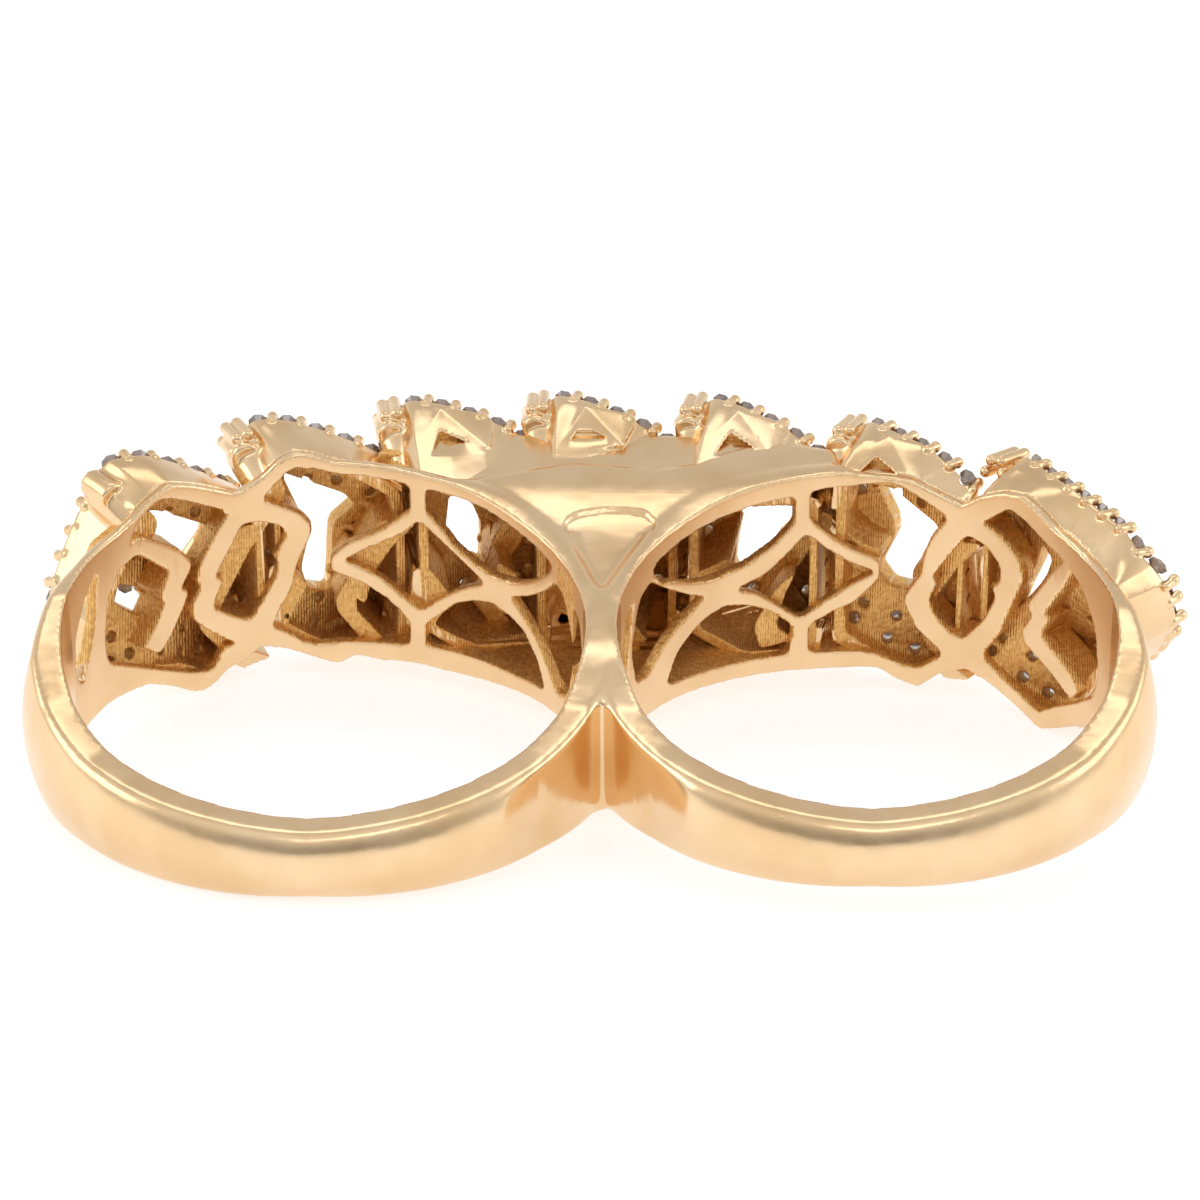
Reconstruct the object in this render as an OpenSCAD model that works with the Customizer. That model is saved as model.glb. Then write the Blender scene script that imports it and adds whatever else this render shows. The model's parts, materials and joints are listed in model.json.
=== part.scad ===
// Two finger ring: one gold casting with a double band, a pierced gallery and seven
// hollow curb chain links across the face, set with small round stones between prongs.
// It lies on its side: X runs across the two fingers, +Y points to the face,
// Z is up. The origin is on the floor under the middle of the ring.

/* [Finger holes] */
// Bore of the left finger hole
left_bore_d = 19.84; // [16:0.01:23]
// Bore of the right finger hole
right_bore_d = 18.95; // [16:0.01:23]
// Metal between the two bores where they come closest
bridge_w = 1.3; // [1:0.05:3]
// Right bore centre, this much nearer the face than the left one
right_bore_shift = 0.45; // [0:0.05:1.5]

/* [Band] */
// Wall of the band along its two edges
band_edge_t = 1.2; // [0.9:0.05:1.8]
// Wall of the band at the top of its crowned outside
band_crown_t = 1.75; // [1.2:0.05:2.6]
// Half height that the band and gallery tables are shares of
half_h = 5; // [4:0.1:6]
// Wall of the pierced gallery round each bore
gallery_t = 0.55; // [0.4:0.05:1]
// Wall of the smooth shoulder panels, top and bottom
panel_t = 0.85; // [0.6:0.05:1.5]

/* [Chain links] */
// Width of one link along the chain
link_w = 6.3; // [5:0.1:8]
// Height of one link across the chain
link_h = 10.9; // [8:0.1:13]
// How far the twist lifts one corner of a link and sinks the next
link_twist = 1.1; // [0:0.05:1.6]
// Thickness of the plate that carries the stones
plate_t = 0.9; // [0.6:0.05:1.4]
// Wall round each link and round its opening
link_wall = 0.6; // [0.4:0.05:1]

/* [Stones and prongs] */
// Width of one round stone
stone_d = 0.86; // [0.6:0.02:1.2]
// Spacing of the stones in a row, middle to middle
stone_pitch = 1.07; // [0.98:0.01:1.4]
// Middle of the first row of stones, in from the edge of the link
row_inset = 0.69; // [0.5:0.01:1]
// Height of one stone, girdle to table
stone_h = 0.3; // [0.2:0.02:0.6]
// Gap between a stone and the plate under it
stone_gap = 0.06; // [0.03:0.01:0.15]
// Width of a prong
prong_d = 0.36; // [0.2:0.02:0.5]
// Height of a prong above the plate
prong_h = 0.55; // [0.3:0.05:1]
// Width of the hole drilled through the plate behind a stone
drill_d = 0.45; // [0.3:0.05:0.7]

/* [Rest] */
// Lean of the ring toward the palm as it lies on one side
rest_tilt = 9.9; // [0:0.1:20]
// Lean of the ring toward the left end as it lies on one side
rest_roll = -1.4; // [-5:0.1:5]

/* [Hidden] */

RL = left_bore_d / 2;
RR = right_bore_d / 2;
L = [-(bridge_w / 2 + RL), 0, RL];
R = [bridge_w / 2 + RR, right_bore_shift, RR];
// Where the leaning ring has its middle and its lowest point
rest_x = 0.0172 * RL;
rest_y = 0.25537 * RL;
rest_z = 0.7494 * half_h;

// Rails: angle from the face round the bore, height in percent of half_h
top_l = [[-180,28],[-152,34],[-130,39],[-112,50],[-98,66],[-84,81],[-65,83],[-56,84],[-51,88],
    [-47,95],[-40,103],[-35,96],[-28,84],[-24,77],[-18,87],[-14,100],[-10,106],[-6,103],
    [-1,96],[11,94],[22,89],[35,84],[46,77],[55,74],[68,71],[80,69],[98,63],[112,48],
    [130,39],[152,34],[180,28]];
low_l = [[-180,28],[-152,34],[-130,39],[-112,48],[-98,56],[-80,57],[-63,60],[-50,68],[-43,81],
    [-37,95],[-34,97],[-31,92],[-28,83],[-24,80],[-20,69],[-14,75],[-6,88],[-2,93],
    [2,84],[15,83],[28,81],[42,78],[55,73],[68,71],[80,69],[98,63],[112,48],
    [130,39],[152,34],[180,28]];
top_r = [[-180,28],[-152,34],[-130,39],[-112,48],[-98,63],[-80,69],[-63,73],[-43,76],[-29,81],
    [-16,83],[1,87],[12,84],[24,69],[29,82],[35,92],[40,95],[45,89],[51,80],[64,75],[85,74],
    [98,66],[112,50],[130,39],[152,34],[180,28]];
low_r = [[-180,28],[-152,34],[-130,39],[-112,48],[-98,63],[-80,69],[-63,70],[-37,81],[-24,86],
    [-12,91],[5,93],[10,103],[15,108],[20,92],[27,81],[32,86],[43,101],[49,109],[56,96],
    [66,74],[85,66],[98,60],[112,48],[130,39],[152,34],[180,28]];
// Share of the band wall (1) or of the gallery wall (0), at the edges and at the crown
edge_l = [[-180,1],[-100,1],[-82,0.3],[-72,0],[70,0],[84,0.3],[98,1],[180,1]];
edge_r = [[-180,1],[-98,1],[-84,0.3],[-70,0],[72,0],[82,0.3],[100,1],[180,1]];
crown_l = [[-180,1],[-100,1],[-82,0.3],[-72,0],[118,0],[142,1],[180,1]];
crown_r = [[-180,1],[-142,1],[-118,0],[72,0],[82,0.3],[100,1],[180,1]];

// Links: the bore that carries each one (-1 left, 0 both, 1 right), angle from the face round
// it, stand off the gallery wall, turn, rise in percent of half_h, reach behind the front of
// the gallery wall, taper, then how high the middle and the right end of the upper edge stay,
// in percent of half link_h. Stand, reach and the middle link's place across are in percent
// of the left bore's radius.
LINKS = [
    [-1, -33.5, 19, 41, 5, 17, 0.86, 80, 61],
    [-1, -5, 24, 22, 4, 10, 0.86, 84, 70],
    [-1, 19.4, 45, 9, 2, 1, 0.8, 88, 77],
    [0, 3, 41.5, 0, 0, -11, 0.8, 88, 77],
    [1, -15, 40.5, -9, -2, 6, 0.8, 88, 77],
    [1, 11.6, 18, -21, -5, 16, 0.86, 93, 85],
    [1, 43.5, 15, -40, -6, 21, 0.86, 96, 95]];
LAST = len(LINKS) - 1;
low_mid = 93;
low_end = 74;

// Upper edge of a link from its peak to its right end, as shares of half its width and half
// its height; the lower edge is a like one turned by half a turn
function edge(mid, end) = [[-1, 0.78], [-0.76, 0.95], [-0.35, 0.94], [0.1, mid / 100],
    [0.6, end / 100], [0.95, end / 100 - 0.16]];
// The end links run on past the last neighbour, round the finger
left_end = [[-1.9,-0.6],[-2,-0.25],[-1.95,0.1],[-1.48,0.43],[-1.13,0.62],[-1.06,0.9]];
right_end = [[1.2,0.93],[1.7,0.77],[1.92,0.58],[1.95,0.25],[1.68,-0.07],[1.3,-0.35],[1.05,-0.7]];
// Openings through the links, in percent of half the width and half the height
OPENINGS = [
    [0, [[-62,42],[-42,54],[34,28],[30,17],[4,0],[-20,22]]],
    [0, [[-103,6],[-116,-6],[-66,-30],[-58,-22],[-82,0]]],
    [1, [[-52,56],[-14,46],[22,37],[37,26],[8,11],[6,-22],[0,-47],[-32,-37],[-38,-20],[-22,6]]],
    [2, [[-30,24],[-2,18],[9,0],[6,-42],[-16,-30],[-37,-5]]],
    [3, [[-30,24],[-2,18],[9,0],[6,-42],[-16,-30],[-37,-5]]],
    [4, [[-30,17],[36,32],[38,10],[14,-8],[-3,-44],[-38,-32],[-34,0]]],
    [5, [[-54,52],[-28,54],[45,38],[22,12],[3,-10],[4,-26],[-22,-22],[-41,-11],[-22,15],[-26,28]]],
    [6, [[-12,45],[8,39],[0,24],[-22,2],[-42,-15],[-36,2],[-26,20]]]];

// Spots given in percent of half a link's width and height
function spots(p) = [for (q = p) [q[0] / 100 * link_w / 2, q[1] / 100 * link_h / 2]];
// Spots every pitch under an edge, from start on and so far in from it
function along(e, inset, start, count) = [for (k = [0 : count - 1])
    let (u = start - 0.72 * link_w / 2 + k * stone_pitch)
        [u, lookup(u / (link_w / 2), e) * link_h / 2 - inset]];

// Stones under one edge: edge row, second row, side row, for so many in the edge row
function row_a(e, n) = along(e, row_inset, 0.07, n);
function row_b(e, n) = along(e, row_inset + stone_pitch, 0.77 * stone_pitch, n);
row_c = spots([[-73,44],[-73,19],[-73,-6]]);
function edge_stones(e, n) = concat(row_a(e, n), row_b(e, n < 6 ? 4 : 6), row_c);
left_stones = spots([[-108,47],[-130,32],[-153,18],[-176,3],[-104,21],[-129,6],[-176,-17],
    [-143,-14],[-175,-36],[-138,-32],[-151,-48],[-119,-48],[-88,-46]]);
right_stones = spots([[171,46],[138,42],[170,27],[156,9],[133,22],[103,18],[132,-6],[111,-22]]);
// Prongs under one edge: along it, between the rows, and tall ones at the corner
function edge_prongs(e, n) = concat(spots([[-92,84]]), along(e, 0.16, 0.07 + stone_pitch / 2, n),
    along(e, row_inset + stone_pitch / 2, 0.42 * stone_pitch, 2));
tall_prongs = spots([[-95,68]]);
left_prongs = spots([[-110,61],[-131,46],[-154,32],[-177,17],[-193,-7],[-193,-27],[-189,-46],
    [-171,-56],[-135,-58],[-103,-57]]);
right_prongs = spots([[190,62],[190,46],[190,27],[176,8],[162,-6],[144,-20],[124,-34],[108,-55]]);
function top_row(i) = i == LAST ? 8 : 5;
function top_edge(i) = let (e = edge(LINKS[i][7], LINKS[i][8]))
    i == LAST ? concat([for (p = e) if (p[0] < 0.9) p], [for (p = right_end) if (p[1] > 0.5) p]) : e;
low_edge = edge(low_mid, low_end);
function drills(e) = [row_a(e, 5)[3], row_b(e, 4)[1]];

function turned(p) = [for (q = p) [-q[0], -q[1]]];
function around(p) = concat(p, turned(p));
function scaled(p, a, b) = [for (q = p) [q[0] * a, q[1] * b]];
// The twisted face is four flat facets that meet in the middle of the link; the free
// half of an end link is twice as long
function half_u(i, u) = link_w / 2 * ((i == 0 && u < 0) || (i == LAST && u > 0) ? 2 : 1);
function lift_u(i, u) = link_twist * ((i == 0 && u < 0) || (i == LAST && u > 0) ? 1.7 : 1);
function on_side(i, u, v) = abs(u) / half_u(i, u) > abs(v) / (link_h / 2);
function rise(i, u, v) = -lift_u(i, u) * sign(u) * sign(v)
    * min(abs(u) / half_u(i, u), abs(v) / (link_h / 2));
function slope_u(i, u, v) = on_side(i, u, v) ? 0 : -lift_u(i, u) / half_u(i, u) * sign(v);
function slope_v(i, u, v) = on_side(i, u, v) ? -lift_u(i, u) / (link_h / 2) * sign(u) : 0;
function outline(i) = scaled(concat(
    i == 0 ? left_end : [top_edge(i)[0]],
    [for (p = top_edge(i)) if (p[0] > -0.9) p],
    i == LAST ? [for (p = right_end) if (p[1] <= 0.5) p] : [-low_edge[0]],
    [for (p = low_edge) if (p[0] > -0.9 && (i > 0 || p[0] < 0.9)) -p]),
    link_w / 2, link_h / 2);

// Middle of the set face of a link
function stand(i) = LINKS[i][2] / 100 * RL;
function reach(i) = LINKS[i][5] / 100 * RL;
function link_at(i) = let (k = LINKS[i], c = k[0] < 0 ? L : R, r = c[2] + gallery_t + stand(i))
    k[0] == 0 ? [k[1] / 100 * RL, (RL + RR) / 2 + gallery_t + stand(i), 0]
        : [c[0] + r * sin(k[1]), c[1] + r * cos(k[1]), k[4] / 100 * half_h];

module link_frame(i) {
    translate(link_at(i)) rotate([0, 0, LINKS[i][3]]) children();
}

// A spot on the set face of a link, with up along the local outward direction
module on_face(i, u, v) {
    translate([u, rise(i, u, v), v])
        rotate([-atan(slope_v(i, u, v)), 0, atan(slope_u(i, u, v))])
            rotate([-90, 0, 0]) children();
}

// A block whose front follows the twisted face
module twisted_block(i, out, lift, depth, su, sv) {
    n = len(out);
    pts = concat(
        [for (p = out) [p[0] * su, -depth, p[1] * sv]],
        [for (p = out) [p[0], rise(i, p[0], p[1]) + lift, p[1]]],
        [[0, lift, 0]]);
    sides = [for (j = [0 : n - 1]) for (h = [0, 1]) let (k = (j + 1) % n)
        h == 0 ? [k, j, n + k] : [n + k, j, n + j]];
    front = [for (j = [0 : n - 1]) [n + (j + 1) % n, n + j, 2 * n]];
    polyhedron(pts, concat([[for (j = [0 : n - 1]) j]], sides, front));
}

// One hollow link: a cup open to the finger
module link_shell(i) {
    out = outline(i);
    depth = stand(i) + reach(i);
    taper = LINKS[i][6];
    su = 1 - 0.5 * link_wall / (link_w / 2);
    sv = 1 - link_wall / (link_h / 2) * 1.05;
    link_frame(i) {
        difference() {
            twisted_block(i, out, 0, depth, 0.88, taper);
            twisted_block(i, scaled(out, su, sv), -plate_t, depth + 2, 0.88, taper);
        }
        if (i > 1 && i < LAST) peak();
    }
}

// Pointed peak on the upper side of a link, with a three sided pocket sunk in its front
function peak_at(u, n, v) = [u / 100 * link_w / 2, n / 100 * link_w / 2, v / 100 * link_h / 2];
peak_points = [peak_at(-38,-12,94), peak_at(-64,-60,79), peak_at(8,-63,80), peak_at(-55,-10,84),
    peak_at(15,-8,84), peak_at(-30,-40,74)];
module peak() {
    hull() polyhedron(peak_points, [[0,1,2],[0,2,4],[0,4,3],[0,3,1],[1,5,2],[2,5,4],[4,5,3],[3,5,1]]);
}
module pocket() {
    rotate([90, 0, 0]) translate([0, 0, 0.46 * link_w / 2]) linear_extrude(0.3 * link_w / 2)
        polygon(spots([[-42,87.5],[-56,82],[-10,82]]));
}

module openings() {
    for (o = OPENINGS) link_frame(o[0]) rotate([90, 0, 0]) translate([0, 0, -1.4 * link_twist])
        linear_extrude(5 * plate_t) polygon(spots(o[1]));
}

module prong(h, root) {
    translate([0, 0, -root]) cylinder(h = h + root, d = prong_d, $fn = 4);
}

module link_prongs(i) {
    link_frame(i) {
        for (p = concat(edge_prongs(top_edge(i), top_row(i) - (i == LAST ? 1 : 0)),
            turned(edge_prongs(low_edge, 5)))) on_face(i, p[0], p[1]) prong(prong_h, 0.7 * prong_d);
        for (p = around(tall_prongs)) on_face(i, p[0], p[1]) prong(prong_h, 1.5 * plate_t);
        if (i == 0) for (p = left_prongs) on_face(i, p[0], p[1]) prong(prong_h, 0.8 * prong_d);
        if (i == LAST) for (p = right_prongs) on_face(i, p[0], p[1]) prong(prong_h, 0.8 * prong_d);
    }
}

module link_drills(i) {
    link_frame(i)
        for (p = concat(drills(top_edge(i)), turned(drills(low_edge)))) on_face(i, p[0], p[1])
            translate([0, 0, -1.5 * plate_t]) cylinder(h = 2 * plate_t, d = drill_d, $fn = 6);
}

// Cut stone: square table, eight crown facets round it, eight sided girdle
module stone() {
    r = stone_d / 2;
    polyhedron(
        concat([for (a = [0 : 90 : 270]) [r * 0.55 * cos(a), r * 0.55 * sin(a), stone_h]],
            [for (a = [22.5 : 45 : 337.5]) [r * cos(a), r * sin(a), 0]]),
        concat([[3, 2, 1, 0]],
            [for (k = [0 : 3]) [k, 4 + 2 * k, 4 + (2 * k + 7) % 8]],
            [for (k = [0 : 3]) [k, (k + 1) % 4, 4 + 2 * k + 1, 4 + 2 * k]],
            [[for (j = [0 : 7]) 4 + j]]));
}

function stones(i) = concat(edge_stones(top_edge(i), top_row(i)), turned(edge_stones(low_edge, 5)),
    i == 0 ? left_stones : i == LAST ? right_stones : []);

module link_stones(i) {
    link_frame(i) for (p = stones(i)) on_face(i, p[0], p[1]) translate([0, 0, stone_gap]) stone();
}

// Band and gallery round one bore, as sections every few degrees
module hoop(c, top, low, edge, crown) {
    step = 6;
    n = 360 / step;
    k = 7;
    function at(b, r, z) = [c[0] + r * sin(b), c[1] + r * cos(b), z];
    pts = [for (j = [0 : n - 1]) let (
            b = -180 + j * step,
            zt = lookup(b, top) / 100 * half_h,
            zl = -lookup(b, low) / 100 * half_h,
            m = (zt + zl) / 2,
            te = gallery_t + lookup(b, edge) * (band_edge_t - gallery_t),
            tc = max(te, gallery_t + lookup(b, crown) * (band_crown_t - gallery_t)),
            r = c[2])
        each [at(b, r - 0.7 * gallery_t, zl), at(b, r + te, zl),
            at(b, r + te + (tc - te) * 0.75, m + (zl - m) * 0.5), at(b, r + tc, m),
            at(b, r + te + (tc - te) * 0.75, m + (zt - m) * 0.5),
            at(b, r + te, zt), at(b, r - 0.7 * gallery_t, zt)]];
    faces = [for (j = [0 : n - 1]) for (i = [0 : k - 1]) for (h = [0, 1])
        let (a = j * k + i, b = j * k + (i + 1) % k,
             d = ((j + 1) % n) * k + i, e = ((j + 1) % n) * k + (i + 1) % k)
        h == 0 ? [a, d, e] : [a, e, b]];
    polyhedron(pts, faces);
}

// Shoulder: two smooth panels from the bridge to the face, hollow between. Its plan is in
// percent of the radius of the bore on each side, its side view in percent of the left bore's
// radius and of half_h
plan_l = [[-13,-35],[-26,-10],[-97,97],[-93,125],[-50,137],[0,140]];
plan_r = [[53,142],[97,129],[103,99],[27,-10],[13,-36]];
shoulder_plan = concat(plan_l / 100 * RL, plan_r / 100 * RR);
side_view = [[-34.7,50],[-26,55.5],[-14,63],[0,66],[17,68],[35,70],[53,73.5],[69.5,77.5],
    [81.5,83],[92.5,87.5],[150,88]];
shoulder_side = [for (p = side_view) [p[0] / 100 * RL, p[1] / 100 * half_h]];
cavity_side = concat([[0.3 * RL, 0], [0.34 * RL, 0.4 * half_h]],
    [for (p = shoulder_side) if (p[0] > RL / 2) [p[0], p[1] - panel_t]]);

module side_prism(p) {
    q = concat(p, [for (j = [len(p) - 1 : -1 : 0]) [p[j][0], -p[j][1]]]);
    rotate([90, 0, 90]) linear_extrude(2.5 * RL, center = true) polygon(q);
}

module shoulder() {
    difference() {
        intersection() {
            linear_extrude(3 * half_h, center = true) polygon(shoulder_plan);
            side_prism(shoulder_side);
        }
        side_prism(cavity_side);
    }
}

// Windows of the gallery: angle from the face, height in percent of half_h
left_windows = [
    [-72, [[-66,66],[-72,52],[-79,30],[-80,0],[-76,-16],[-71,4],[-68,24]]],
    [12, [[20,80],[27,79],[35,77],[44,71],[59,62],[57,51],[50,31],[44,20],[37,17],[32,22],
        [27,32],[24,45],[20,58]]],
    [-21, [[-23,48],[-19,48],[-14,41],[-13,32],[-16,13],[-15,8],[-16,-7],[-22,-42],[-26,-35],
        [-31,-22],[-30,-12],[-28,1],[-30,7],[-26,29]]],
    [0, [[-18,68],[-14,60],[-9,50],[-7,40],[-7,32],[-9,16],[-11,0],[-12,-18],[-15,-36],[-17,-52],
        [-13,-60],[-10,-69],[-7,-73],[2,-71],[15,-70],[15,-48],[13,-39],[9,-26],[3,-13],[-3,-4],
        [-3,9],[1,22],[8,34],[12,45],[16,58],[16,81],[7,84],[-1,86],[-6,91],[-11,93]]],
    [17, [[18,49],[14,34],[9,24],[4,14],[0,6],[4,0],[8,-7],[11,-16],[15,-28],[18,-35],[23,-19],
        [28,-6],[35,7],[30,18],[25,30]]],
    [37, [[19,-48],[23,-35],[27,-21],[32,-13],[37,-9],[42,-13],[47,-20],[52,-40],[55,-62],
        [42,-67],[28,-67],[19,-68]]],
    [57, [[43,5],[49,15],[55,30],[60,47],[64,44],[71,4],[66,-44],[60,-54],[57,-42],[52,-20],
        [47,-7]]],
    [76, [[69,46],[76,45],[80,10],[80,-30],[76,-30],[75,8]]]];
left_w1 = [[-44,94],[-40,90],[-26,62],[-30,44],[-34,21],[-35,8],[-34,1],[-37,-16],[-36,-29],
    [-33,-41],[-29,-53],[-26,-61],[-29,-62],[-32,-80],[-37,-76],[-46,-60],[-63,-24],[-64,-4],
    [-63,16],[-62,34],[-59,44],[-54,64],[-50,84]];
left_hook = [[-57,66],[-50,71],[-39,42],[-36,28],[-36,21],[-39,6],[-37,1],[-39,-14],[-42,-31],
    [-46,-46],[-51,-32],[-47,-18],[-44,-1],[-45,7],[-42,26],[-44,32],[-48,46],[-51,55],[-60,50]];
right_windows = [
    [-38, [[-16,72],[-22,71],[-29,70],[-45,66],[-60,58],[-55,35],[-51,32],[-45,21],[-38,14],
        [-28,17],[-21,30],[-16,47]]],
    [4, [[-12,74],[-9,76],[-3,77],[3,80],[8,81],[14,70],[21,56],[17,36],[15,15],[15,1],[13,-9],
        [11,-22],[11,-30],[14,-52],[21,-72],[15,-89],[11,-88],[4,-78],[-12,-77],[-12,-51],
        [-7,-41],[-1,-31],[5,-8],[5,9],[-2,19],[-7,32],[-12,49]]],
    [-14, [[-13,36],[-7,17],[-2,6],[4,-2],[-2,-14],[-8,-28],[-14,-43],[-19,-29],[-25,-12],
        [-31,-3],[-23,4],[-17,21]]],
    [-35, [[-16,-49],[-22,-31],[-28,-21],[-34,-15],[-41,-20],[-49,-36],[-54,-62],[-37,-70],
        [-24,-74],[-17,-76]]],
    [26, [[26,44],[31,39],[35,25],[35,11],[33,4],[34,-6],[31,-30],[26,-52],[23,-51],[19,-38],
        [17,-23],[19,-7],[18,1],[22,23]]],
    [-56, [[-40,1],[-45,9],[-53,27],[-60,46],[-66,40],[-71,4],[-68,-32],[-61,-38],[-53,-20],
        [-45,-8]]],
    [-76, [[-70,44],[-76,42],[-80,10],[-80,-30],[-76,-30],[-74,8]]]];
right_w6 = [[30,60],[32,65],[37,80],[42,74],[48,64],[54,59],[62,48],[70,24],[73,-10],[71,-36],
    [62,-60],[54,-78],[48,-94],[38,-79],[31,-64],[36,-37],[39,-6],[42,20],[41,36],[36,50]];
right_zig = [[52,49],[56,64],[59,60],[56,38],[49,0],[51,-2],[48,-22],[64,-45],[60,-62],[43,-37],
    [42,-25],[45,-7],[43,0]];

module window_cut(c, b0, near = 2.6) {
    translate([c[0], c[1], 0]) rotate([90, 0, -b0])
        translate([0, 0, -(c[2] + gallery_t + 0.3)]) linear_extrude(gallery_t + near) children();
}
function flat(c, b0, p) = [for (q = p) [c[2] * sin(q[0] - b0), q[1] / 100 * half_h]];

module windows() {
    for (w = left_windows) window_cut(L, w[0]) polygon(flat(L, w[0], w[1]));
    window_cut(L, -45) difference() {
        polygon(flat(L, -45, left_w1));
        polygon(flat(L, -45, left_hook));
    }
    for (w = right_windows) window_cut(R, w[0]) polygon(flat(R, w[0], w[1]));
    window_cut(R, 50) difference() {
        polygon(flat(R, 50, right_w6));
        polygon(flat(R, 50, right_zig));
    }
}

module bores(extra, sides = 60) {
    for (c = [L, R]) translate([c[0], c[1], 0])
        cylinder(h = 6 * half_h, r = c[2] + extra, center = true, $fn = sides);
}

module resting() {
    translate([-rest_x, -rest_y, rest_z]) rotate([rest_tilt, rest_roll, 0]) children();
}

module cast_body() {
    color([0.87, 0.7, 0.42]) resting() difference() {
        union() {
            hoop(L, top_l, low_l, edge_l, crown_l);
            hoop(R, top_r, low_r, edge_r, crown_r);
            shoulder();
            difference() {
                for (i = [0 : LAST]) link_shell(i);
                bores(0.8 * gallery_t, 30);
            }
            for (i = [0 : LAST]) link_prongs(i);
        }
        bores(0);
        windows();
        openings();
        for (i = [0 : LAST]) link_drills(i);
        for (i = [2 : LAST - 1]) link_frame(i) pocket();
    }
}

module pave_stones() {
    color([0.62, 0.52, 0.44]) resting() for (i = [0 : LAST]) link_stones(i);
}

cast_body();
pave_stones();
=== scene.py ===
"""A two finger ring in yellow gold, lying on its side on a pale table.

The ring is one casting: a double band, a hollow shoulder, a pierced gallery and seven hollow
curb links across the front, set with small stones between prongs. Each sub-assembly is a class
that samples the distance to its own surface on a fine lattice, in the ring's own millimetres,
and skins it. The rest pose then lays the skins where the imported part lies.
"""

import json
import logging
import math
from collections.abc import Callable
from dataclasses import dataclass, field
from enum import Enum
from functools import cached_property

import bpy
import numpy as np
import openvdb
from mathutils import Matrix, Vector


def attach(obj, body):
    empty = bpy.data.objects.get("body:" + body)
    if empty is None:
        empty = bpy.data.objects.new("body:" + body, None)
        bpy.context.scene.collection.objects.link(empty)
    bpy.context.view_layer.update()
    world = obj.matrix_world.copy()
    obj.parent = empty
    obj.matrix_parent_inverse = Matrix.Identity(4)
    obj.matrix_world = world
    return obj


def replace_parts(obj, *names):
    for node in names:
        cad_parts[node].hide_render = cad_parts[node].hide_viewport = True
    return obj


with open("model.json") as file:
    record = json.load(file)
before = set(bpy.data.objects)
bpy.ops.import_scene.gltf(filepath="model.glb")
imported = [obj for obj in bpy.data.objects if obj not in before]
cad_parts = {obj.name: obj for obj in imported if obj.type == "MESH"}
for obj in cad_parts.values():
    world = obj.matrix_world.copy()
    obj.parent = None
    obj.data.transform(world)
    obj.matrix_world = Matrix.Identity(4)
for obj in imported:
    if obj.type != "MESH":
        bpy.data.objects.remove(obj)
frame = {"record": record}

LOG = logging.getLogger("two_finger_ring")
MM = 0.001
# Steps of the lattice that a distance keeps to each side of its surface
BAND_STEPS = 3.0
# Cells left out at the end of a chart, so that a reading has a sample on both sides
LAST_CELL = 1.001

Array = np.ndarray
Pair = tuple[float, float]
Triple = tuple[float, float, float]
Colour = tuple[float, float, float, float]
Outline = list[Pair]
Socket = bpy.types.NodeSocket
Material = bpy.types.Material
WHITE: Colour = (1.0, 1.0, 1.0, 1.0)


class Side(Enum):
    """The finger hole that carries a link."""

    LEFT = -1
    BOTH = 0
    RIGHT = 1


class Metal(Enum):
    """Material slots of a gold piece, in the order that its mesh lists them."""

    POLISHED = 0
    SATIN = 1
    # rough cast skin inside, whose deeper amber base colour is painted shade in the hollows
    CAST = 2


# Distance functions


def smooth_max(a: Array, b: Array, radius: float) -> Array:
    """Meet two distances with a round edge.

    Args:
        a: first distance.
        b: second distance.
        radius: size of the rounding, in millimetres.

    Returns:
        The larger distance, rounded where the two are close.
    """
    h = np.maximum(radius - np.abs(a - b), 0.0) / radius
    return np.maximum(a, b) + h * h * radius * 0.25


def smooth_min(a: Array, b: Array, radius: float) -> Array:
    """Join two distances with a fillet of that radius."""
    return -smooth_max(-a, -b, radius)


def polygon_distance(px: Array, py: Array, outline: Outline) -> Array:
    """Distance of points to a closed outline, negative inside.

    Args:
        px: first coordinate of the points.
        py: second coordinate of the points.
        outline: the corners in order.

    Returns:
        An array of the shape that px and py make together.
    """
    shape = np.broadcast_shapes(px.shape, py.shape)
    best = np.full(shape, np.inf, np.float32)
    inside = np.zeros(shape, bool)
    count = len(outline)
    for k in range(count):
        ax, ay = outline[k]
        bx, by = outline[(k + 1) % count]
        ex, ey = bx - ax, by - ay
        wx, wy = px - ax, py - ay
        t = np.clip((wx * ex + wy * ey) / (ex * ex + ey * ey), 0.0, 1.0)
        dx, dy = wx - ex * t, wy - ey * t
        best = np.minimum(best, dx * dx + dy * dy)
        if ay != by:
            crosses = (ay > py) != (by > py)
            inside ^= crosses & (px < ex * (py - ay) / (by - ay) + ax)
    distance = np.sqrt(best)
    return np.where(inside, -distance, distance)


def rounded(outline: Outline, passes: int = 1, share: float = 0.14) -> Outline:
    """Cut the corners of a closed outline, so that it turns softly.

    Args:
        outline: the corners in order.
        passes: how often each corner is cut.
        share: how much of each side a cut takes.

    Returns:
        The softer outline.
    """
    for _ in range(passes):
        cut: Outline = []
        for k, (ax, ay) in enumerate(outline):
            bx, by = outline[(k + 1) % len(outline)]
            cut.append((ax + share * (bx - ax), ay + share * (by - ay)))
            cut.append((bx + share * (ax - bx), by + share * (ay - by)))
        outline = cut
    return outline


def turned(outline: Outline) -> Outline:
    """The same points after half a turn."""
    return [(-a, -b) for a, b in outline]


def softened(values: Array, width: int) -> Array:
    """Smooth a row of values, which carries a margin of half the width at each end."""
    window = np.hanning(width)
    return np.convolve(values, window / window.sum(), "valid")


def eased(full: float, share: Array) -> Array:
    """A step of full height that starts and ends softly, at a share of its way."""
    return full * share * share * (3 - 2 * share)


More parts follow.
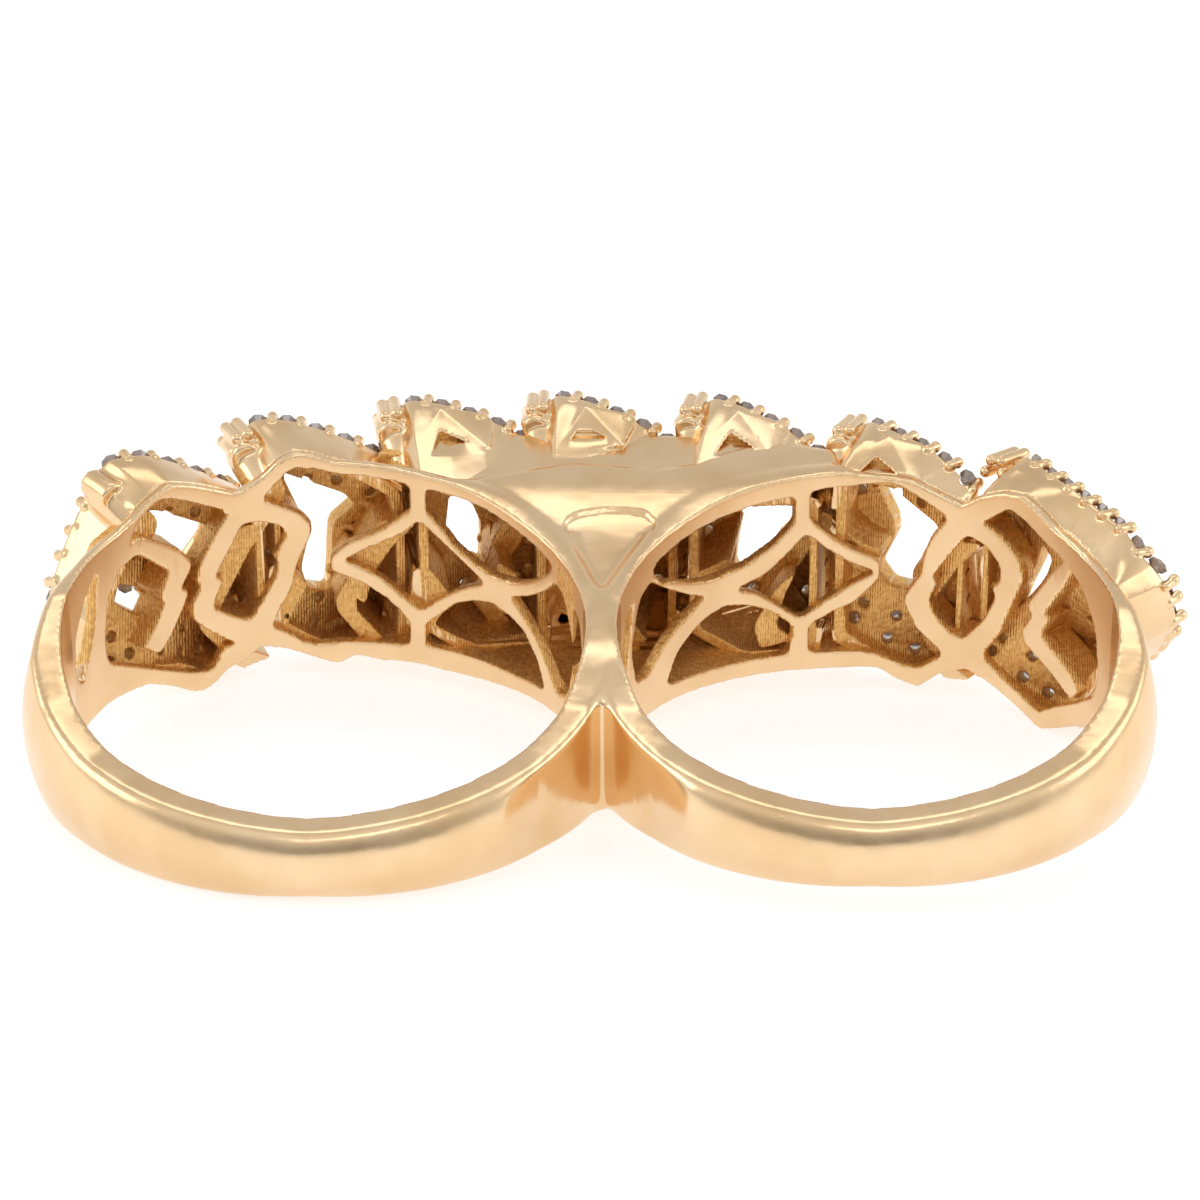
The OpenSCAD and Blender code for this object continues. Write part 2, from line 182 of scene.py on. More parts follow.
def rod_distance(x: Array, y: Array, z: Array, foot: Array | Triple, tip: Array | Triple) -> Array:
    """Distance to the line between two ends.

    Args:
        x: first coordinate of the points.
        y: second coordinate of the points.
        z: third coordinate of the points.
        foot: one end.
        tip: the other end.

    Returns:
        The distance, never negative.
    """
    e = [b - a for a, b in zip(foot, tip)]
    t = (x - foot[0]) * e[0] + (y - foot[1]) * e[1] + (z - foot[2]) * e[2]
    t = np.clip(t / sum(c * c for c in e), 0.0, 1.0)
    dx, dy, dz = x - foot[0] - e[0] * t, y - foot[1] - e[1] * t, z - foot[2] - e[2] * t
    return np.sqrt(dx ** 2 + dy ** 2 + dz ** 2)


def hull_distance(x: Array, y: Array, z: Array, corners: list[Triple], faces: tuple) -> Array:
    """Distance to a convex block, by its face planes.

    Args:
        x: first coordinate of the points.
        y: second coordinate of the points.
        z: third coordinate of the points.
        corners: the block's corners.
        faces: three corner numbers a face, in any order.

    Returns:
        The largest plane distance.
    """
    spots = np.array(corners, float)
    middle = spots.mean(axis=0)
    best = None
    for a, b, c in faces:
        normal = np.cross(spots[b] - spots[a], spots[c] - spots[a])
        normal /= np.linalg.norm(normal)
        if normal @ (spots[a] - middle) < 0:
            normal = -normal
        ax, ay, az = spots[a]
        plane = (x - ax) * normal[0] + (y - ay) * normal[1] + (z - az) * normal[2]
        best = plane if best is None else np.maximum(best, plane)
    return best


@dataclass
class Chart:
    """A flat distance, sampled once and then read between its samples."""

    low: Pair
    step: float
    values: Array

    @classmethod
    def of(cls, low: Pair, high: Pair, step: float, distance: Callable) -> "Chart":
        """Sample a distance.

        Args:
            low: lower corner of the chart.
            high: upper corner.
            step: distance between samples.
            distance: the function to sample, of two coordinates.

        Returns:
            The chart.
        """
        a = np.arange(low[0], high[0] + step, step)[:, None]
        b = np.arange(low[1], high[1] + step, step)[None, :]
        return cls(low, step, np.asarray(distance(a, b), np.float32))

    def read(self, a: Array, b: Array) -> Array:
        """Read the distance at any places.

        Args:
            a: first coordinate of the places.
            b: second coordinate of the places.

        Returns:
            The distance, worked out from the four nearest samples.
        """
        rows, columns = self.values.shape
        i = np.clip((a - self.low[0]) / self.step, 0, rows - LAST_CELL).astype(np.float32)
        j = np.clip((b - self.low[1]) / self.step, 0, columns - LAST_CELL).astype(np.float32)
        m, k = i.astype(np.int32), j.astype(np.int32)
        f, g = i - m, j - k
        near = self.values[m, k] * (1 - g) + self.values[m, k + 1] * g
        far = self.values[m + 1, k] * (1 - g) + self.values[m + 1, k + 1] * g
        return near * (1 - f) + far * f


@dataclass
class Lattice:
    """A box of sample points in the ring's own millimetres."""

    low: Triple
    high: Triple
    step: float

    def axes(self) -> tuple[Array, Array, Array]:
        """Lay out the samples.

        Returns:
            Their x, y and z, shaped so that they broadcast.
        """
        spans = [
            np.arange(self.low[k], self.high[k] + self.step, self.step, dtype=np.float32)
            for k in range(3)
        ]
        return spans[0][:, None, None], spans[1][None, :, None], spans[2][None, None, :]

    def skin(self, distance: Array) -> tuple[Array, Array]:
        """Skin a sampled distance.

        Args:
            distance: one value a sample, negative inside the metal.

        Returns:
            Points in millimetres, and faces of four corners each.
        """
        reach = BAND_STEPS * self.step
        grid = openvdb.FloatGrid(reach)
        grid.copyFromArray(np.clip(distance, -reach, reach).astype(np.float32))
        points, quads = grid.convertToQuads(isovalue=0.0)
        points = np.asarray(points, np.float64) * self.step + np.array(self.low)
        return points, np.asarray(quads, np.int32)[:, ::-1]


@dataclass(frozen=True)
class RingSizes:
    """The ring's own sizes, in millimetres. The origin is on the bridge between the bores."""

    left_bore_d: float = 19.84
    right_bore_d: float = 18.95
    bridge_w: float = 1.3
    right_bore_shift: float = 0.45
    band_edge_t: float = 1.2
    band_crown_t: float = 1.75
    half_h: float = 5.0
    gallery_t: float = 0.55
    panel_t: float = 0.85
    link_w: float = 6.3
    link_h: float = 10.9
    link_twist: float = 1.1
    plate_t: float = 0.9
    link_wall: float = 0.6
    stone_d: float = 0.86
    stone_pitch: float = 1.07
    row_inset: float = 0.69

    @property
    def left_r(self) -> float:
        """Radius of the left bore."""
        return self.left_bore_d / 2

    @property
    def right_r(self) -> float:
        """Radius of the right bore."""
        return self.right_bore_d / 2

    @property
    def left_centre(self) -> Pair:
        """Middle of the left bore."""
        return -(self.bridge_w / 2 + self.left_r), 0.0

    @property
    def right_centre(self) -> Pair:
        """Middle of the right bore."""
        return self.bridge_w / 2 + self.right_r, self.right_bore_shift


@dataclass(frozen=True)
class RestPose:
    """Where the ring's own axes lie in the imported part, read from its finger mount."""

    turn: Array
    shift: Array

    @classmethod
    def from_record(cls, record: dict, sizes: RingSizes) -> "RestPose":
        """Work the pose out from the left finger's mount.

        Args:
            record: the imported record.
            sizes: the ring's own sizes.

        Returns:
            The turn and the shift, in metres.
        """
        mount = next(m for m in record["mounts"] if m["name"] == "left_finger")
        ax, ay, az = mount["axis"]
        tilt = math.asin(-ay / math.sqrt(ax * ax + ay * ay + az * az))
        roll = math.atan2(ax, az)
        turn = np.array(Matrix.Rotation(roll, 3, "Y") @ Matrix.Rotation(tilt, 3, "X"))
        centre = np.array([*sizes.left_centre, 0.0]) * MM
        return cls(turn, np.array(mount["pos_m"]) - turn @ centre)

    def place(self, points: Array) -> Array:
        """Ring millimetres to metres on the table."""
        return points * MM @ self.turn.T + self.shift

    def matrix(self) -> Matrix:
        """Write the pose as one matrix.

        Returns:
            Four by four numbers, in metres.
        """
        pose = Matrix(self.turn.tolist()).to_4x4()
        pose.translation = Vector(self.shift)
        return pose


# Finishes: scales are in cells a metre, depths in metres


def set_stops(ramp: bpy.types.ColorRamp, stops: list[tuple[float, Colour]]) -> None:
    """Give a colour ramp its stops.

    Args:
        ramp: a new ramp, which has two.
        stops: position and colour of each stop, in order.
    """
    ramp.elements[0].position, ramp.elements[0].color = stops[0]
    ramp.elements[1].position, ramp.elements[1].color = stops[-1]
    for position, colour in stops[1:-1]:
        ramp.elements.new(position).color = colour


class Shader:
    """Small helper that strings the nodes of one material together."""

    def __init__(self, name: str) -> None:
        """Start a material with one Principled shader.

        Args:
            name: the material's name.
        """
        self.material = bpy.data.materials.new(name)
        self.material.use_nodes = True
        self.nodes = self.material.node_tree.nodes
        self.links = self.material.node_tree.links
        self.surface = self.nodes["Principled BSDF"]
        self.place = self.nodes.new("ShaderNodeTexCoord").outputs["Object"]

    def join(self, source: Socket, target: Socket) -> None:
        """Run a link from one socket to another."""
        self.links.new(source, target)

    def fix(self, values: dict[str, float | Colour]) -> None:
        """Set constant values of the surface, by the names of its sockets."""
        for name, value in values.items():
            self.surface.inputs[name].default_value = value

    def noise(self, scale: float, detail: float = 4.0, stretch: Triple = (1, 1, 1)) -> Socket:
        """Noise of so many cells a metre.

        Args:
            scale: cells a metre.
            detail: octaves of finer noise.
            stretch: factors on x, y and z before the noise is read.

        Returns:
            The noise value's socket.
        """
        mapping = self.nodes.new("ShaderNodeMapping")
        mapping.inputs["Scale"].default_value = stretch
        self.join(self.place, mapping.inputs["Vector"])
        node = self.nodes.new("ShaderNodeTexNoise")
        node.inputs["Scale"].default_value = scale
        node.inputs["Detail"].default_value = detail
        self.join(mapping.outputs["Vector"], node.inputs["Vector"])
        return node.outputs["Fac"]

    def tint(self, source: Socket, deep: Colour, light: Colour, margin: float) -> None:
        """Colour the surface by a value.

        Args:
            source: the value.
            deep: colour where it is low.
            light: colour where it is high.
            margin: how far from 0 and from 1 the two colours are reached.
        """
        node = self.nodes.new("ShaderNodeValToRGB")
        set_stops(node.color_ramp, [(margin, deep), (1 - margin, light)])
        self.join(source, node.inputs["Fac"])
        self.join(node.outputs["Color"], self.surface.inputs["Base Color"])

    def roughen(self, source: Socket, low: float, high: float) -> None:
        """Spread the surface's roughness between two values.

        Args:
            source: the value, from 0 to 1.
            low: roughness at 0.
            high: roughness at 1.
        """
        node = self.nodes.new("ShaderNodeMapRange")
        node.inputs["To Min"].default_value = low
        node.inputs["To Max"].default_value = high
        self.join(source, node.inputs["Value"])
        self.join(node.outputs["Result"], self.surface.inputs["Roughness"])

    def bump(self, heights: list[tuple[Socket, float, float]]) -> None:
        """Stack bumps on the surface.

        Args:
            heights: for each, its value, its strength and its depth in metres.
        """
        last = None
        for value, strength, depth in heights:
            node = self.nodes.new("ShaderNodeBump")
            node.inputs["Strength"].default_value = strength
            node.inputs["Distance"].default_value = depth
            self.join(value, node.inputs["Height"])
            if last is not None:
                self.join(last, node.inputs["Normal"])
            last = node.outputs["Normal"]
        self.join(last, self.surface.inputs["Normal"])


@dataclass(frozen=True)
class PolishedGold:
    """Worn high polish of the band, shoulder and link sides."""

    light: Colour = (0.88, 0.645, 0.395, 1.0)
    deep: Colour = (0.80, 0.55, 0.30, 1.0)
    clouds: float = 260.0
    haze: float = 700.0
    roughness: Pair = (0.12, 0.32)
    dents: float = 420.0
    dent_depth: float = 0.00012
    hairlines: float = 9000.0
    hairline_depth: float = 0.00001

    def build(self) -> Material:
        """Make the material.

        Returns:
            The material.
        """
        s = Shader("polished_gold")
        s.fix({"Metallic": 1.0})
        s.tint(s.noise(self.clouds, 3.0), self.deep, self.light, 0.35)
        s.roughen(s.noise(self.haze, 5.0), *self.roughness)
        hairline = s.noise(self.hairlines, 2.0, (1.0, 0.06, 1.0))
        dent = s.noise(self.dents, 2.0)
        s.bump([(dent, 0.45, self.dent_depth), (hairline, 0.12, self.hairline_depth)])
        return s.material


@dataclass(frozen=True)
class SatinGold:
    """Flat brushed faces of the gallery bars and the bores."""

    light: Colour = (0.94, 0.69, 0.42, 1.0)
    deep: Colour = (0.86, 0.60, 0.33, 1.0)
    clouds: float = 400.0
    grain: float = 12000.0
    grain_depth: float = 0.00001
    roughness: Pair = (0.3, 0.5)

    def build(self) -> Material:
        """Make the material.

        Returns:
            The material.
        """
        s = Shader("satin_gold")
        s.fix({"Metallic": 1.0})
        s.tint(s.noise(self.clouds, 4.0), self.deep, self.light, 0.3)
        grain = s.noise(self.grain, 3.0)
        s.roughen(grain, *self.roughness)
        s.bump([(grain, 0.25, self.grain_depth)])
        return s.material


@dataclass(frozen=True)
class ShadedCastGold:
    """Rough skin that the casting leaves inside, with the ribs of its wax layers, in a deeper amber
    than the polish that is painted shade of the hollows.
    """

    # deeper, more saturated amber than the polish: painted shade and interreflection inside the
    # hollows
    light: Colour = (0.95, 0.62, 0.24, 1.0)
    deep: Colour = (0.72, 0.40, 0.12, 1.0)
    metallic: float = 0.85
    grain: float = 5200.0
    grain_depth: float = 0.00010
    roughness: Pair = (0.3, 0.6)
    ribs: float = 3100.0
    rib_bend: float = 1.5
    rib_depth: float = 0.00004

    def build(self) -> Material:
        """Make the material.

        Returns:
            The material.
        """
        s = Shader("cast_gold_painted_shade")
        s.fix({"Metallic": self.metallic})
        grain = s.noise(self.grain, 6.0)
        s.tint(grain, self.deep, self.light, 0.35)
        s.roughen(grain, *self.roughness)
        ribs = s.nodes.new("ShaderNodeTexWave")
        ribs.inputs["Scale"].default_value = self.ribs
        ribs.inputs["Distortion"].default_value = self.rib_bend
        ribs.inputs["Detail"].default_value = 1.0
        s.join(s.place, ribs.inputs["Vector"])
        s.bump([(grain, 0.8, self.grain_depth), (ribs.outputs["Fac"], 0.5, self.rib_depth)])
        return s.material


@dataclass(frozen=True)
class ClearStone:
    """Small brownish clear stones."""

    light: Colour = (0.62, 0.50, 0.44, 1.0)
    deep_share: float = 0.6
    clouds: float = 600.0
    roughness: float = 0.03
    bending: float = 2.2
    clearness: float = 0.5

    def build(self) -> Material:
        """Make the material.

        Returns:
            The material.
        """
        s = Shader("clear_stone")
        deep = tuple(self.deep_share * c for c in self.light[:3]) + (1.0,)
        s.tint(s.noise(self.clouds, 2.0), deep, self.light, 0.3)
        s.fix({"Roughness": self.roughness, "IOR": self.bending,
               "Transmission Weight": self.clearness})
        return s.material


@dataclass(frozen=True)
class GlowingTable:
    """Plain table top that glows: painted light that fades the ring's shadows on it to a faint grey
    and brightens the bores that mirror it.
    """

    tone: Colour = (0.5, 0.5, 0.5, 1.0)
    roughness: float = 0.6
    # glow of the table's own face, painted light that lifts the shadows on it
    glow: float = 0.68

    def build(self) -> Material:
        """Make the material.

        Returns:
            The material.
        """
        s = Shader("glowing_table")
        s.fix({"Base Color": self.tone, "Roughness": self.roughness, "Emission Color": WHITE,
               "Emission Strength": self.glow})
        return s.material


@dataclass
class Finishes:
    """The materials that the pieces share, made once."""

    gold: list[Material] = field(default_factory=list)
    stone: Material | None = None

    def build(self) -> "Finishes":
        """Make each material.

        Returns:
            The finishes themselves.
        """
        self.gold = [PolishedGold().build(), SatinGold().build(), ShadedCastGold().build()]
        self.stone = ClearStone().build()
        return self


# Pieces


@dataclass
class Workshop:
    """What every sub-assembly needs: the sizes, the rest pose, the finishes and the hoops."""

    sizes: RingSizes
    pose: RestPose
    finishes: Finishes
    hoops: "list[Hoop]"

    @staticmethod
    def volume(points: Array, faces: Array) -> float:
        """Volume inside a mesh.

        Args:
            points: one row a point.
            faces: corner numbers, one row a face.

        Returns:
            Cubic millimetres, negative where the faces look inward.
        """
        corners = points[faces]
        total = 0.0
        for k in range(1, faces.shape[1] - 1):
            wedge = np.cross(corners[:, k], corners[:, k + 1])
            total += np.einsum("ij,ij->i", corners[:, 0], wedge).sum()
        return total / 6

    def piece(
        self,
        name: str,
        points: Array,
        faces: Array,
        materials: list[Material],
        marks: Array | None = None,
        smooth: bool = True,
    ) -> bpy.types.Object:
        """Make one piece of the scene.

        Args:
            name: the piece's name.
            points: ring millimetres, one row a point.
            faces: corner numbers, one row a face.
            materials: the piece's material slots.
            marks: slot number of each face.
            smooth: whether the faces shade softly.

        Returns:
            The new object, at the origin, with its place in its mesh.
        """
        volume = self.volume(points, faces)
        if volume < 0:
            faces = faces[:, ::-1]
        placed = self.pose.place(points)
        mesh = bpy.data.meshes.new(name)
        size = faces.shape[1]
        mesh.vertices.add(len(points))
        mesh.vertices.foreach_set("co", placed.astype(np.float32).ravel())
        mesh.loops.add(faces.size)
        mesh.loops.foreach_set("vertex_index", faces.astype(np.int32).ravel())
        mesh.polygons.add(len(faces))
        mesh.polygons.foreach_set("loop_start", np.arange(0, faces.size, size, dtype=np.int32))
        for material in materials:
            mesh.materials.append(material)
        if marks is not None:
            mesh.polygons.foreach_set("material_index", marks.astype(np.int32))
        mesh.polygons.foreach_set("use_smooth", np.full(len(faces), smooth))
        mesh.update(calc_edges=True)
        mesh.validate()
        thing = bpy.data.objects.new(name, mesh)
        bpy.context.scene.collection.objects.link(thing)
        low, high = (np.round(c / MM, 2) for c in (placed.min(axis=0), placed.max(axis=0)))
        LOG.info("%s: %d faces, %s to %s mm, volume %.1f", name, len(faces), low, high, volume)
        return thing

    def thin(self, thing: bpy.types.Object, triangles: int) -> None:
        """Drop the finest faces of a piece until it holds so many triangles.

        Args:
            thing: the piece, whose mesh is replaced.
            triangles: how many it may hold.
        """
        count = sum(len(p.vertices) - 2 for p in thing.data.polygons)
        if count <= triangles:
            return
        cut = thing.modifiers.new("thin", "DECIMATE")
        cut.ratio = triangles / count
        graph = bpy.context.evaluated_depsgraph_get()
        mesh = bpy.data.meshes.new_from_object(thing.evaluated_get(graph))
        thing.modifiers.clear()
        old = thing.data
        thing.data = mesh
        mesh.name = old.name
        bpy.data.meshes.remove(old)


@dataclass
class Hoop:
    """Band and gallery round one bore, with its windows.

    Top and low are the heights of the two rails, edge and crown the share of the band's wall,
    all by the angle round the bore from the face. Windows and bars are outlines in that angle
    and in percent of the gallery's half height, and loop is the window inside the curled bar.
    """

    sizes: RingSizes
    centre: Pair
    radius: float
    top: Outline
    low: Outline
    edge: Outline
    crown: Outline
    windows: list[Outline]
    bars: list[Outline]
    loop: int
    rim_round: float = 0.3
    bore_round: float = 0.14
    tube_depth: float = 1.1
    tube_start: float = 0.2
    tube_half_wall: float = 0.36
    tube_round: float = 0.2
    window_reach: float = 1.6
    chart_turn: float = 90.0
    chart_half_h: float = 6.0
    chart_step: float = 0.04

    def angle(self, x: Array, y: Array) -> Array:
        """Angle round the bore from the face, in degrees."""
        return np.degrees(np.arctan2(x - self.centre[0], y - self.centre[1]))

    def radial(self, x: Array, y: Array) -> Array:
        """Distance from the bore's axis."""
        return np.hypot(x - self.centre[0], y - self.centre[1])

    @staticmethod
    def follow(beta: Array, table: Outline) -> Array:
        """A table read with soft corners.

        Args:
            beta: angles.
            table: angle and value of each knot.

        Returns:
            The value at each angle.
        """
        knots = np.array(table, float)
        fine = np.arange(-180.0, 180.5, 0.5)
        raw = np.interp(fine, knots[:, 0], knots[:, 1])
        soft = softened(np.concatenate([raw[-5:-1], raw, raw[1:5]]), 9)
        return np.interp(beta, fine, soft)

    def heights(self, beta: Array) -> tuple[Array, Array]:
        """Heights of the upper and the lower rail, the lower one negative.

        Args:
            beta: angles.

        Returns:
            Both heights at each angle, in millimetres.
        """
        half = self.sizes.half_h
        return self.follow(beta, self.top) / 100 * half, -self.follow(beta, self.low) / 100 * half

    def solid(self, x: Array, y: Array, z: Array) -> Array:
        """Work out the uncut hoop.

        Args:
            x: across the fingers.
            y: toward the front.
            z: along the bore.

        Returns:
            The distance to it.
        """
        s = self.sizes
        beta = self.angle(x, y)
        rho = self.radial(x, y)
        top, low = self.heights(beta)
        edge = s.gallery_t + self.follow(beta, self.edge) * (s.band_edge_t - s.gallery_t)
        crown = s.gallery_t + self.follow(beta, self.crown) * (s.band_crown_t - s.gallery_t)
        crown = np.maximum(edge, crown)
        middle, half = (top + low) / 2, (top - low) / 2
        across = np.clip((z - middle) / half, -1.0, 1.0)
        wall = edge + (crown - edge) * (1 - across * across)
        ends = np.maximum(z - top, low - z)
        body = smooth_max(rho - (self.radius + wall), ends, self.rim_round)
        return smooth_max(body, self.radius - rho, self.bore_round)

    def outlines(self, shapes: list[Outline]) -> list[Outline]:
        """Outlines in angle and percent, turned to millimetres of arc and rise."""
        deg = math.radians(1.0) * self.radius
        return [[(p * deg, q / 100 * self.sizes.half_h) for p, q in shape] for shape in shapes]

    def read(self, x: Array, y: Array, z: Array, distance: Callable) -> Array:
        """Read a distance that is drawn on the unrolled front of the bore.

        Args:
            x: across the fingers.
            y: toward the front.
            z: along the bore.
            distance: the drawn distance, of arc and rise in millimetres.

        Returns:
            The distance at each place.
        """
        deg = math.radians(1.0) * self.radius
        arc, rise = self.chart_turn * deg, self.chart_half_h
        chart = Chart.of((-arc, -rise), (arc, rise), self.chart_step, distance)
        return chart.read(self.angle(x, y) * deg, z)

    def tubes(self, x: Array, y: Array, z: Array) -> Array:
        """Work out the deep walls of the loop and the hook, up toward the links.

        Args:
            x: across the fingers.
            y: toward the front.
            z: along the bore.

        Returns:
            The distance to them.
        """

        def walls(a: Array, b: Array) -> Array:
            """Draw the wall round the loop and the hook.

            Args:
                a: arc round the bore, in millimetres.
                b: rise, in millimetres.

            Returns:
                The distance.
            """
            loop = polygon_distance(a, b, self.outlines(self.windows)[self.loop])
            hook = polygon_distance(a, b, self.outlines(self.bars)[0])
            return np.minimum(np.abs(loop - self.tube_half_wall) - self.tube_half_wall, hook)

        rho = self.radial(x, y)
        back = rho - (self.radius + self.sizes.gallery_t + self.tube_depth)
        deep = np.maximum(back, self.radius + self.tube_start - rho)
        return smooth_max(self.read(x, y, z, walls), deep, self.tube_round)

    def opened(self, x: Array, y: Array, z: Array) -> Array:
        """Work out the windows.

        Args:
            x: across the fingers.
            y: toward the front.
            z: along the bore.

        Returns:
            The distance to them, negative in the open part.
        """

        def gaps(a: Array, b: Array) -> Array:
            """Draw the windows without the bars in them.

            Args:
                a: arc round the bore, in millimetres.
                b: rise, in millimetres.

            Returns:
                The distance.
            """
            best = np.full(np.broadcast_shapes(a.shape, b.shape), 9.0)
            for shape in self.outlines(self.windows):
                best = np.minimum(best, polygon_distance(a, b, rounded(shape)))
            for shape in self.outlines(self.bars):
                best = np.maximum(best, -polygon_distance(a, b, rounded(shape)))
            return best

        reach = self.radius + self.sizes.gallery_t + self.window_reach
        return np.maximum(self.read(x, y, z, gaps), self.radial(x, y) - reach)

    def rails(self, x: Array, y: Array) -> tuple[Array, Array, Array]:
        """Look the rails up.

        Args:
            x: across the fingers.
            y: toward the front.

        Returns:
            Distance out from the gallery wall, and height of the upper and of the lower rail
            there, both positive.
        """
        beta = self.angle(x, y)
        half = self.sizes.half_h / 100
        out = self.radial(x, y) - (self.radius + self.sizes.gallery_t)
        return out, self.follow(beta, self.top) * half, self.follow(beta, self.low) * half


# Rails: angle from the face round the bore, height in percent of half_h
TOP_LEFT = [
    (-180, 28), (-152, 34), (-130, 39), (-112, 50), (-98, 66), (-84, 81), (-65, 83), (-56, 84),
    (-51, 88), (-47, 95), (-40, 103), (-35, 96), (-28, 84), (-24, 77), (-18, 87), (-14, 100),
    (-10, 106), (-6, 103), (-1, 96), (11, 94), (22, 89), (35, 84), (46, 77), (55, 74), (68, 71),
    (80, 69), (98, 63), (112, 48), (130, 39), (152, 34), (180, 28),
]
LOW_LEFT = [
    (-180, 28), (-152, 34), (-130, 39), (-112, 48), (-98, 56), (-80, 57), (-63, 60), (-50, 68),
    (-43, 81), (-37, 95), (-34, 97), (-31, 92), (-28, 83), (-24, 80), (-20, 69), (-14, 75),
    (-6, 88), (-2, 93), (2, 84), (15, 83), (28, 81), (42, 78), (55, 73), (68, 71), (80, 69),
    (98, 63), (112, 48), (130, 39), (152, 34), (180, 28),
]
TOP_RIGHT = [
    (-180, 28), (-152, 34), (-130, 39), (-112, 48), (-98, 63), (-80, 69), (-63, 73), (-43, 76),
    (-29, 81), (-16, 83), (1, 87), (12, 84), (24, 69), (29, 82), (35, 92), (40, 95), (45, 89),
    (51, 80), (64, 75), (85, 74), (98, 66), (112, 50), (130, 39), (152, 34), (180, 28),
]
LOW_RIGHT = [
    (-180, 28), (-152, 34), (-130, 39), (-112, 48), (-98, 63), (-80, 69), (-63, 70), (-37, 81),
    (-24, 86), (-12, 91), (5, 93), (10, 103), (15, 108), (20, 92), (27, 81), (32, 86), (43, 101),
    (49, 109), (56, 96), (66, 74), (85, 66), (98, 60), (112, 48), (130, 39), (152, 34), (180, 28),
]
# Share of the band wall (1) or of the gallery wall (0), at the edges and at the crown
EDGE_LEFT = [(-180, 1), (-100, 1), (-82, 0.3), (-72, 0), (70, 0), (84, 0.3), (98, 1), (180, 1)]
EDGE_RIGHT = [(-180, 1), (-98, 1), (-84, 0.3), (-70, 0), (72, 0), (82, 0.3), (100, 1), (180, 1)]
CROWN_LEFT = [(-180, 1), (-100, 1), (-82, 0.3), (-72, 0), (118, 0), (142, 1), (180, 1)]
CROWN_RIGHT = [(-180, 1), (-142, 1), (-118, 0), (72, 0), (82, 0.3), (100, 1), (180, 1)]

# Windows of the gallery: angle from the face, height in percent of half_h
WINDOWS_LEFT = [
    [(-66, 66), (-72, 52), (-79, 30), (-80, 0), (-76, -16), (-71, 4), (-68, 24)],
    [(20, 80), (27, 79), (35, 77), (44, 71), (59, 62), (57, 51), (50, 31), (44, 20), (37, 17),
     (32, 22), (27, 32), (24, 45), (20, 58)],
    [(-23, 48), (-19, 48), (-14, 41), (-13, 32), (-16, 13), (-15, 8), (-16, -7), (-22, -42),
     (-26, -35), (-31, -22), (-30, -12), (-28, 1), (-30, 7), (-26, 29)],
    [(-18, 68), (-14, 60), (-9, 50), (-7, 40), (-7, 32), (-9, 16), (-11, 0), (-12, -18),
     (-15, -36), (-17, -52), (-13, -60), (-10, -69), (-7, -73), (2, -71), (15, -70), (15, -48),
     (13, -39), (9, -26), (3, -13), (-3, -4), (-3, 9), (1, 22), (8, 34), (12, 45), (16, 58),
     (16, 81), (7, 84), (-1, 86), (-6, 91), (-11, 93)],
    [(18, 49), (14, 34), (9, 24), (4, 14), (0, 6), (4, 0), (8, -7), (11, -16), (15, -28),
     (18, -35), (23, -19), (28, -6), (35, 7), (30, 18), (25, 30)],
    [(19, -48), (23, -35), (27, -21), (32, -13), (37, -9), (42, -13), (47, -20), (52, -40),
     (55, -62), (42, -67), (28, -67), (19, -68)],
    [(43, 5), (49, 15), (55, 30), (60, 47), (64, 44), (71, 4), (66, -44), (60, -54), (57, -42),
     (52, -20), (47, -7)],
    [(69, 46), (76, 45), (80, 10), (80, -30), (76, -30), (75, 8)],
    [(-44, 94), (-40, 90), (-26, 62), (-30, 44), (-34, 21), (-35, 8), (-34, 1), (-37, -16),
     (-36, -29), (-33, -41), (-29, -53), (-26, -61), (-29, -62), (-32, -80), (-37, -76),
     (-46, -60), (-63, -24), (-64, -4), (-63, 16), (-62, 34), (-59, 44), (-54, 64), (-50, 84)],
]
BARS_LEFT = [
    [(-57, 66), (-50, 71), (-39, 42), (-36, 28), (-36, 21), (-39, 6), (-37, 1), (-39, -14),
     (-42, -31), (-46, -46), (-51, -32), (-47, -18), (-44, -1), (-45, 7), (-42, 26), (-44, 32),
     (-48, 46), (-51, 55), (-60, 50)],
]
WINDOWS_RIGHT = [
    [(-16, 72), (-22, 71), (-29, 70), (-45, 66), (-60, 58), (-55, 35), (-51, 32), (-45, 21),
     (-38, 14), (-28, 17), (-21, 30), (-16, 47)],
    [(-12, 74), (-9, 76), (-3, 77), (3, 80), (8, 81), (14, 70), (21, 56), (17, 36), (15, 15),
     (15, 1), (13, -9), (11, -22), (11, -30), (14, -52), (21, -72), (15, -89), (11, -88),
     (4, -78), (-12, -77), (-12, -51), (-7, -41), (-1, -31), (5, -8), (5, 9), (-2, 19), (-7, 32),
     (-12, 49)],
    [(-13, 36), (-7, 17), (-2, 6), (4, -2), (-2, -14), (-8, -28), (-14, -43), (-19, -29),
     (-25, -12), (-31, -3), (-23, 4), (-17, 21)],
    [(-16, -49), (-22, -31), (-28, -21), (-34, -15), (-41, -20), (-49, -36), (-54, -62),
     (-37, -70), (-24, -74), (-17, -76)],
    [(26, 44), (31, 39), (35, 25), (35, 11), (33, 4), (34, -6), (31, -30), (26, -52), (23, -51),
     (19, -38), (17, -23), (19, -7), (18, 1), (22, 23)],
    [(-40, 1), (-45, 9), (-53, 27), (-60, 46), (-66, 40), (-71, 4), (-68, -32), (-61, -38),
     (-53, -20), (-45, -8)],
    [(-70, 44), (-76, 42), (-80, 10), (-80, -30), (-76, -30), (-74, 8)],
    [(30, 60), (32, 65), (37, 80), (42, 74), (48, 64), (54, 59), (62, 48), (70, 24), (73, -10),
     (71, -36), (62, -60), (54, -78), (48, -94), (38, -79), (31, -64), (36, -37), (39, -6),
     (42, 20), (41, 36), (36, 50)],
]
BARS_RIGHT = [
    [(52, 49), (56, 64), (59, 60), (56, 38), (49, 0), (51, -2), (48, -22), (64, -45), (60, -62),
     (43, -37), (42, -25), (45, -7), (43, 0)],
]


